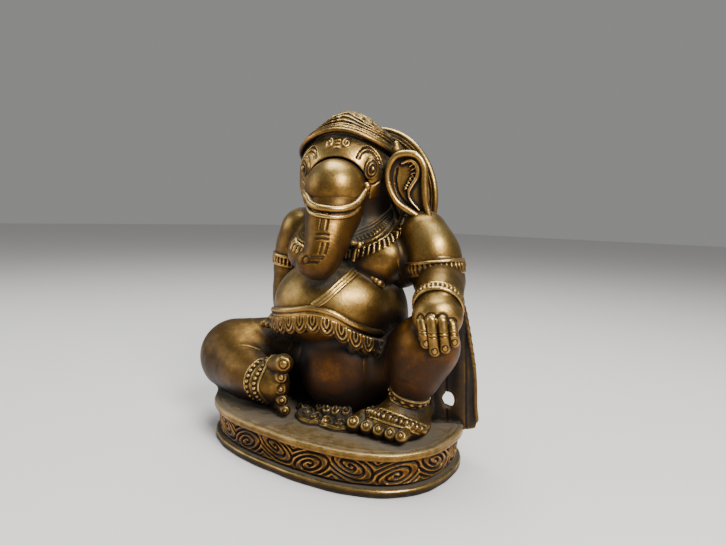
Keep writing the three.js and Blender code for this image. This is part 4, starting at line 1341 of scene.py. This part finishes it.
LOOKS = {
    "aged_brass": {},
    "polished_brass": dict(wear_and_shade=0.12, dust=0.15),
    "dark_patina_brass": dict(wear_and_shade=-0.18, dust=0.35),
    # Darker and warm-tinted: painted shade and a painted warm reflection on the hanging trunk.
    "trunk_brass": dict(wear_and_shade=-0.1, dust=0.15, tint=(1.02, 0.9, 0.72)),
    # Strong contrast: bright worn rim and a dark dished interior, partly patina, partly painted shade.
    "ear_brass": dict(wear_and_shade=0.04, contrast=1.6, dust=0.1),
    "hand_brass": dict(contrast=1.25, dust=0.25),
    "finger_brass": dict(wear_and_shade=-0.1, contrast=1.3, dust=0.25),
    "brow_brass": dict(wear_and_shade=0.2, dust=0.25),
    "halo_brass": dict(wear_and_shade=-0.12, dust=0.5),
    # Darker and warm-tinted: painted shade and a painted warm reflection on the plinth's side.
    "frieze_brass": dict(wear_and_shade=-0.17, contrast=1.15, dust=0.25, tint=(1.02, 0.84, 0.66)),
    "plate_brass": dict(dust=0.66, dusty=(0.150, 0.118, 0.078)),
    "cloth_brass": dict(wear_and_shade=-0.12, contrast=1.3, dust=0.35, dusty=(0.080, 0.062, 0.042)),
    "shawl_brass": dict(wear_and_shade=-0.15, dust=0.4),
    "belly_brass": dict(wear_and_shade=0.16, dust=0.2, scratch=0.6),
    # Darker and warm-tinted: painted shade and a painted warm reflection on the low thigh and seat.
    "thigh_brass": dict(wear_and_shade=-0.14, dust=0.3, tint=(1.05, 0.93, 0.78)),
    # Darker and warm-tinted: painted shade and a painted warm reflection on the knees and shins.
    "knee_brass": dict(wear_and_shade=-0.1, dust=0.25, tint=(1.12, 0.86, 0.64)),
    "foot_brass": dict(wear_and_shade=0.03, dust=0.34),
    # Darker and warm-tinted: painted shade and a painted warm reflection under the belly.
    "warm_brass": dict(wear_and_shade=-0.18, tint=(1.15, 0.8, 0.56)),
}
MATERIALS = {name: brass(name.replace("_", " "), **settings) for name, settings in LOOKS.items()}


# ---------------------------------------------------------------- making it all
make_plinth()
make_torso()
make_head()
make_eyes()
make_cap()
make_trunk()
ear("left_ear", [15.4, 1.6, 57.0], (0.9, 0.43, 0), (0.43, -0.9, 0))
ear("right_ear", [-10.6, 3.5, 57.0], (-0.25, 0.97, 0), (-0.97, -0.25, 0))
make_halo()
make_arms()
make_hands()
make_legs()
left_foot = make_left_foot()
right_foot = make_right_foot()
make_leg_rings(left_foot, right_foot)
make_belt()
make_cords()
make_necklace()
make_shawl()
make_fan()
stop_at_halo()

whole_figure = far_field()
faces = {name: build_mesh(name, clay, look, whole_figure) for name, clay, look in PIECES}
print("faces", sum(faces.values()), "largest", max(faces, key=faces.get), max(faces.values()))

# ---------------------------------------------------------------- floor, light and camera
floor_mesh = bpy.data.meshes.new("floor")
span = 1.5
corners = [(-span, -span, 0), (span, -span, 0), (span, span, 0), (-span, span, 0)]
floor_mesh.from_pydata(corners, [], [(0, 1, 2, 3)])
floor_mesh.materials.append(plain("pale floor", (0.78, 0.77, 0.75), 0.85))
place("floor", floor_mesh)

world = bpy.data.worlds.new("studio")
world.use_nodes = True
world.node_tree.nodes["Background"].inputs[0].default_value = (0.86, 0.86, 0.85, 1)
world.node_tree.nodes["Background"].inputs[1].default_value = 0.3
bpy.context.scene.world = world

# The lights: name, place in mm, size in mm, watts, colour
LIGHTS = [
    ("key", (250, -120, 250), 130, 1.8, (1.0, 0.98, 0.95)),
    ("top", (-20, 40, 330), 220, 1.0, (1.0, 1.0, 1.0)),
    ("fill", (-260, -160, 150), 200, 0.3, (0.95, 0.97, 1.0)),
]
AIM = Vector(MIDDLE) + Vector((0, 0, 0.038))
for name, at, size, watts, colour in LIGHTS:
    data = bpy.data.lights.new(name, "AREA")
    data.size, data.energy, data.color = size * MM, watts, colour
    light = place(name, data)
    light.location = Vector(at) * MM + Vector(MIDDLE)
    light.rotation_mode = "QUATERNION"
    light.rotation_quaternion = (AIM - light.location).to_track_quat("-Z", "Y")

CAMERA_AT = (70.6, -92.0, 50.2)
CAMERA_PITCH, CAMERA_TURN, CAMERA_ROLL = 6.04, 34.74, 1.78
camera_data = bpy.data.cameras.new("camera")
camera_data.lens, camera_data.sensor_width = 26.9, 36.0
camera_data.clip_start = 0.005
camera = place("camera", camera_data)
camera.location = Vector(CAMERA_AT) * MM + Vector(MIDDLE)
camera.rotation_mode = "QUATERNION"
facing = Matrix(turn(yaw=CAMERA_TURN) @ turn(pitch=90 - CAMERA_PITCH) @ turn(yaw=CAMERA_ROLL))
camera.rotation_quaternion = facing.to_quaternion()
bpy.context.scene.camera = camera
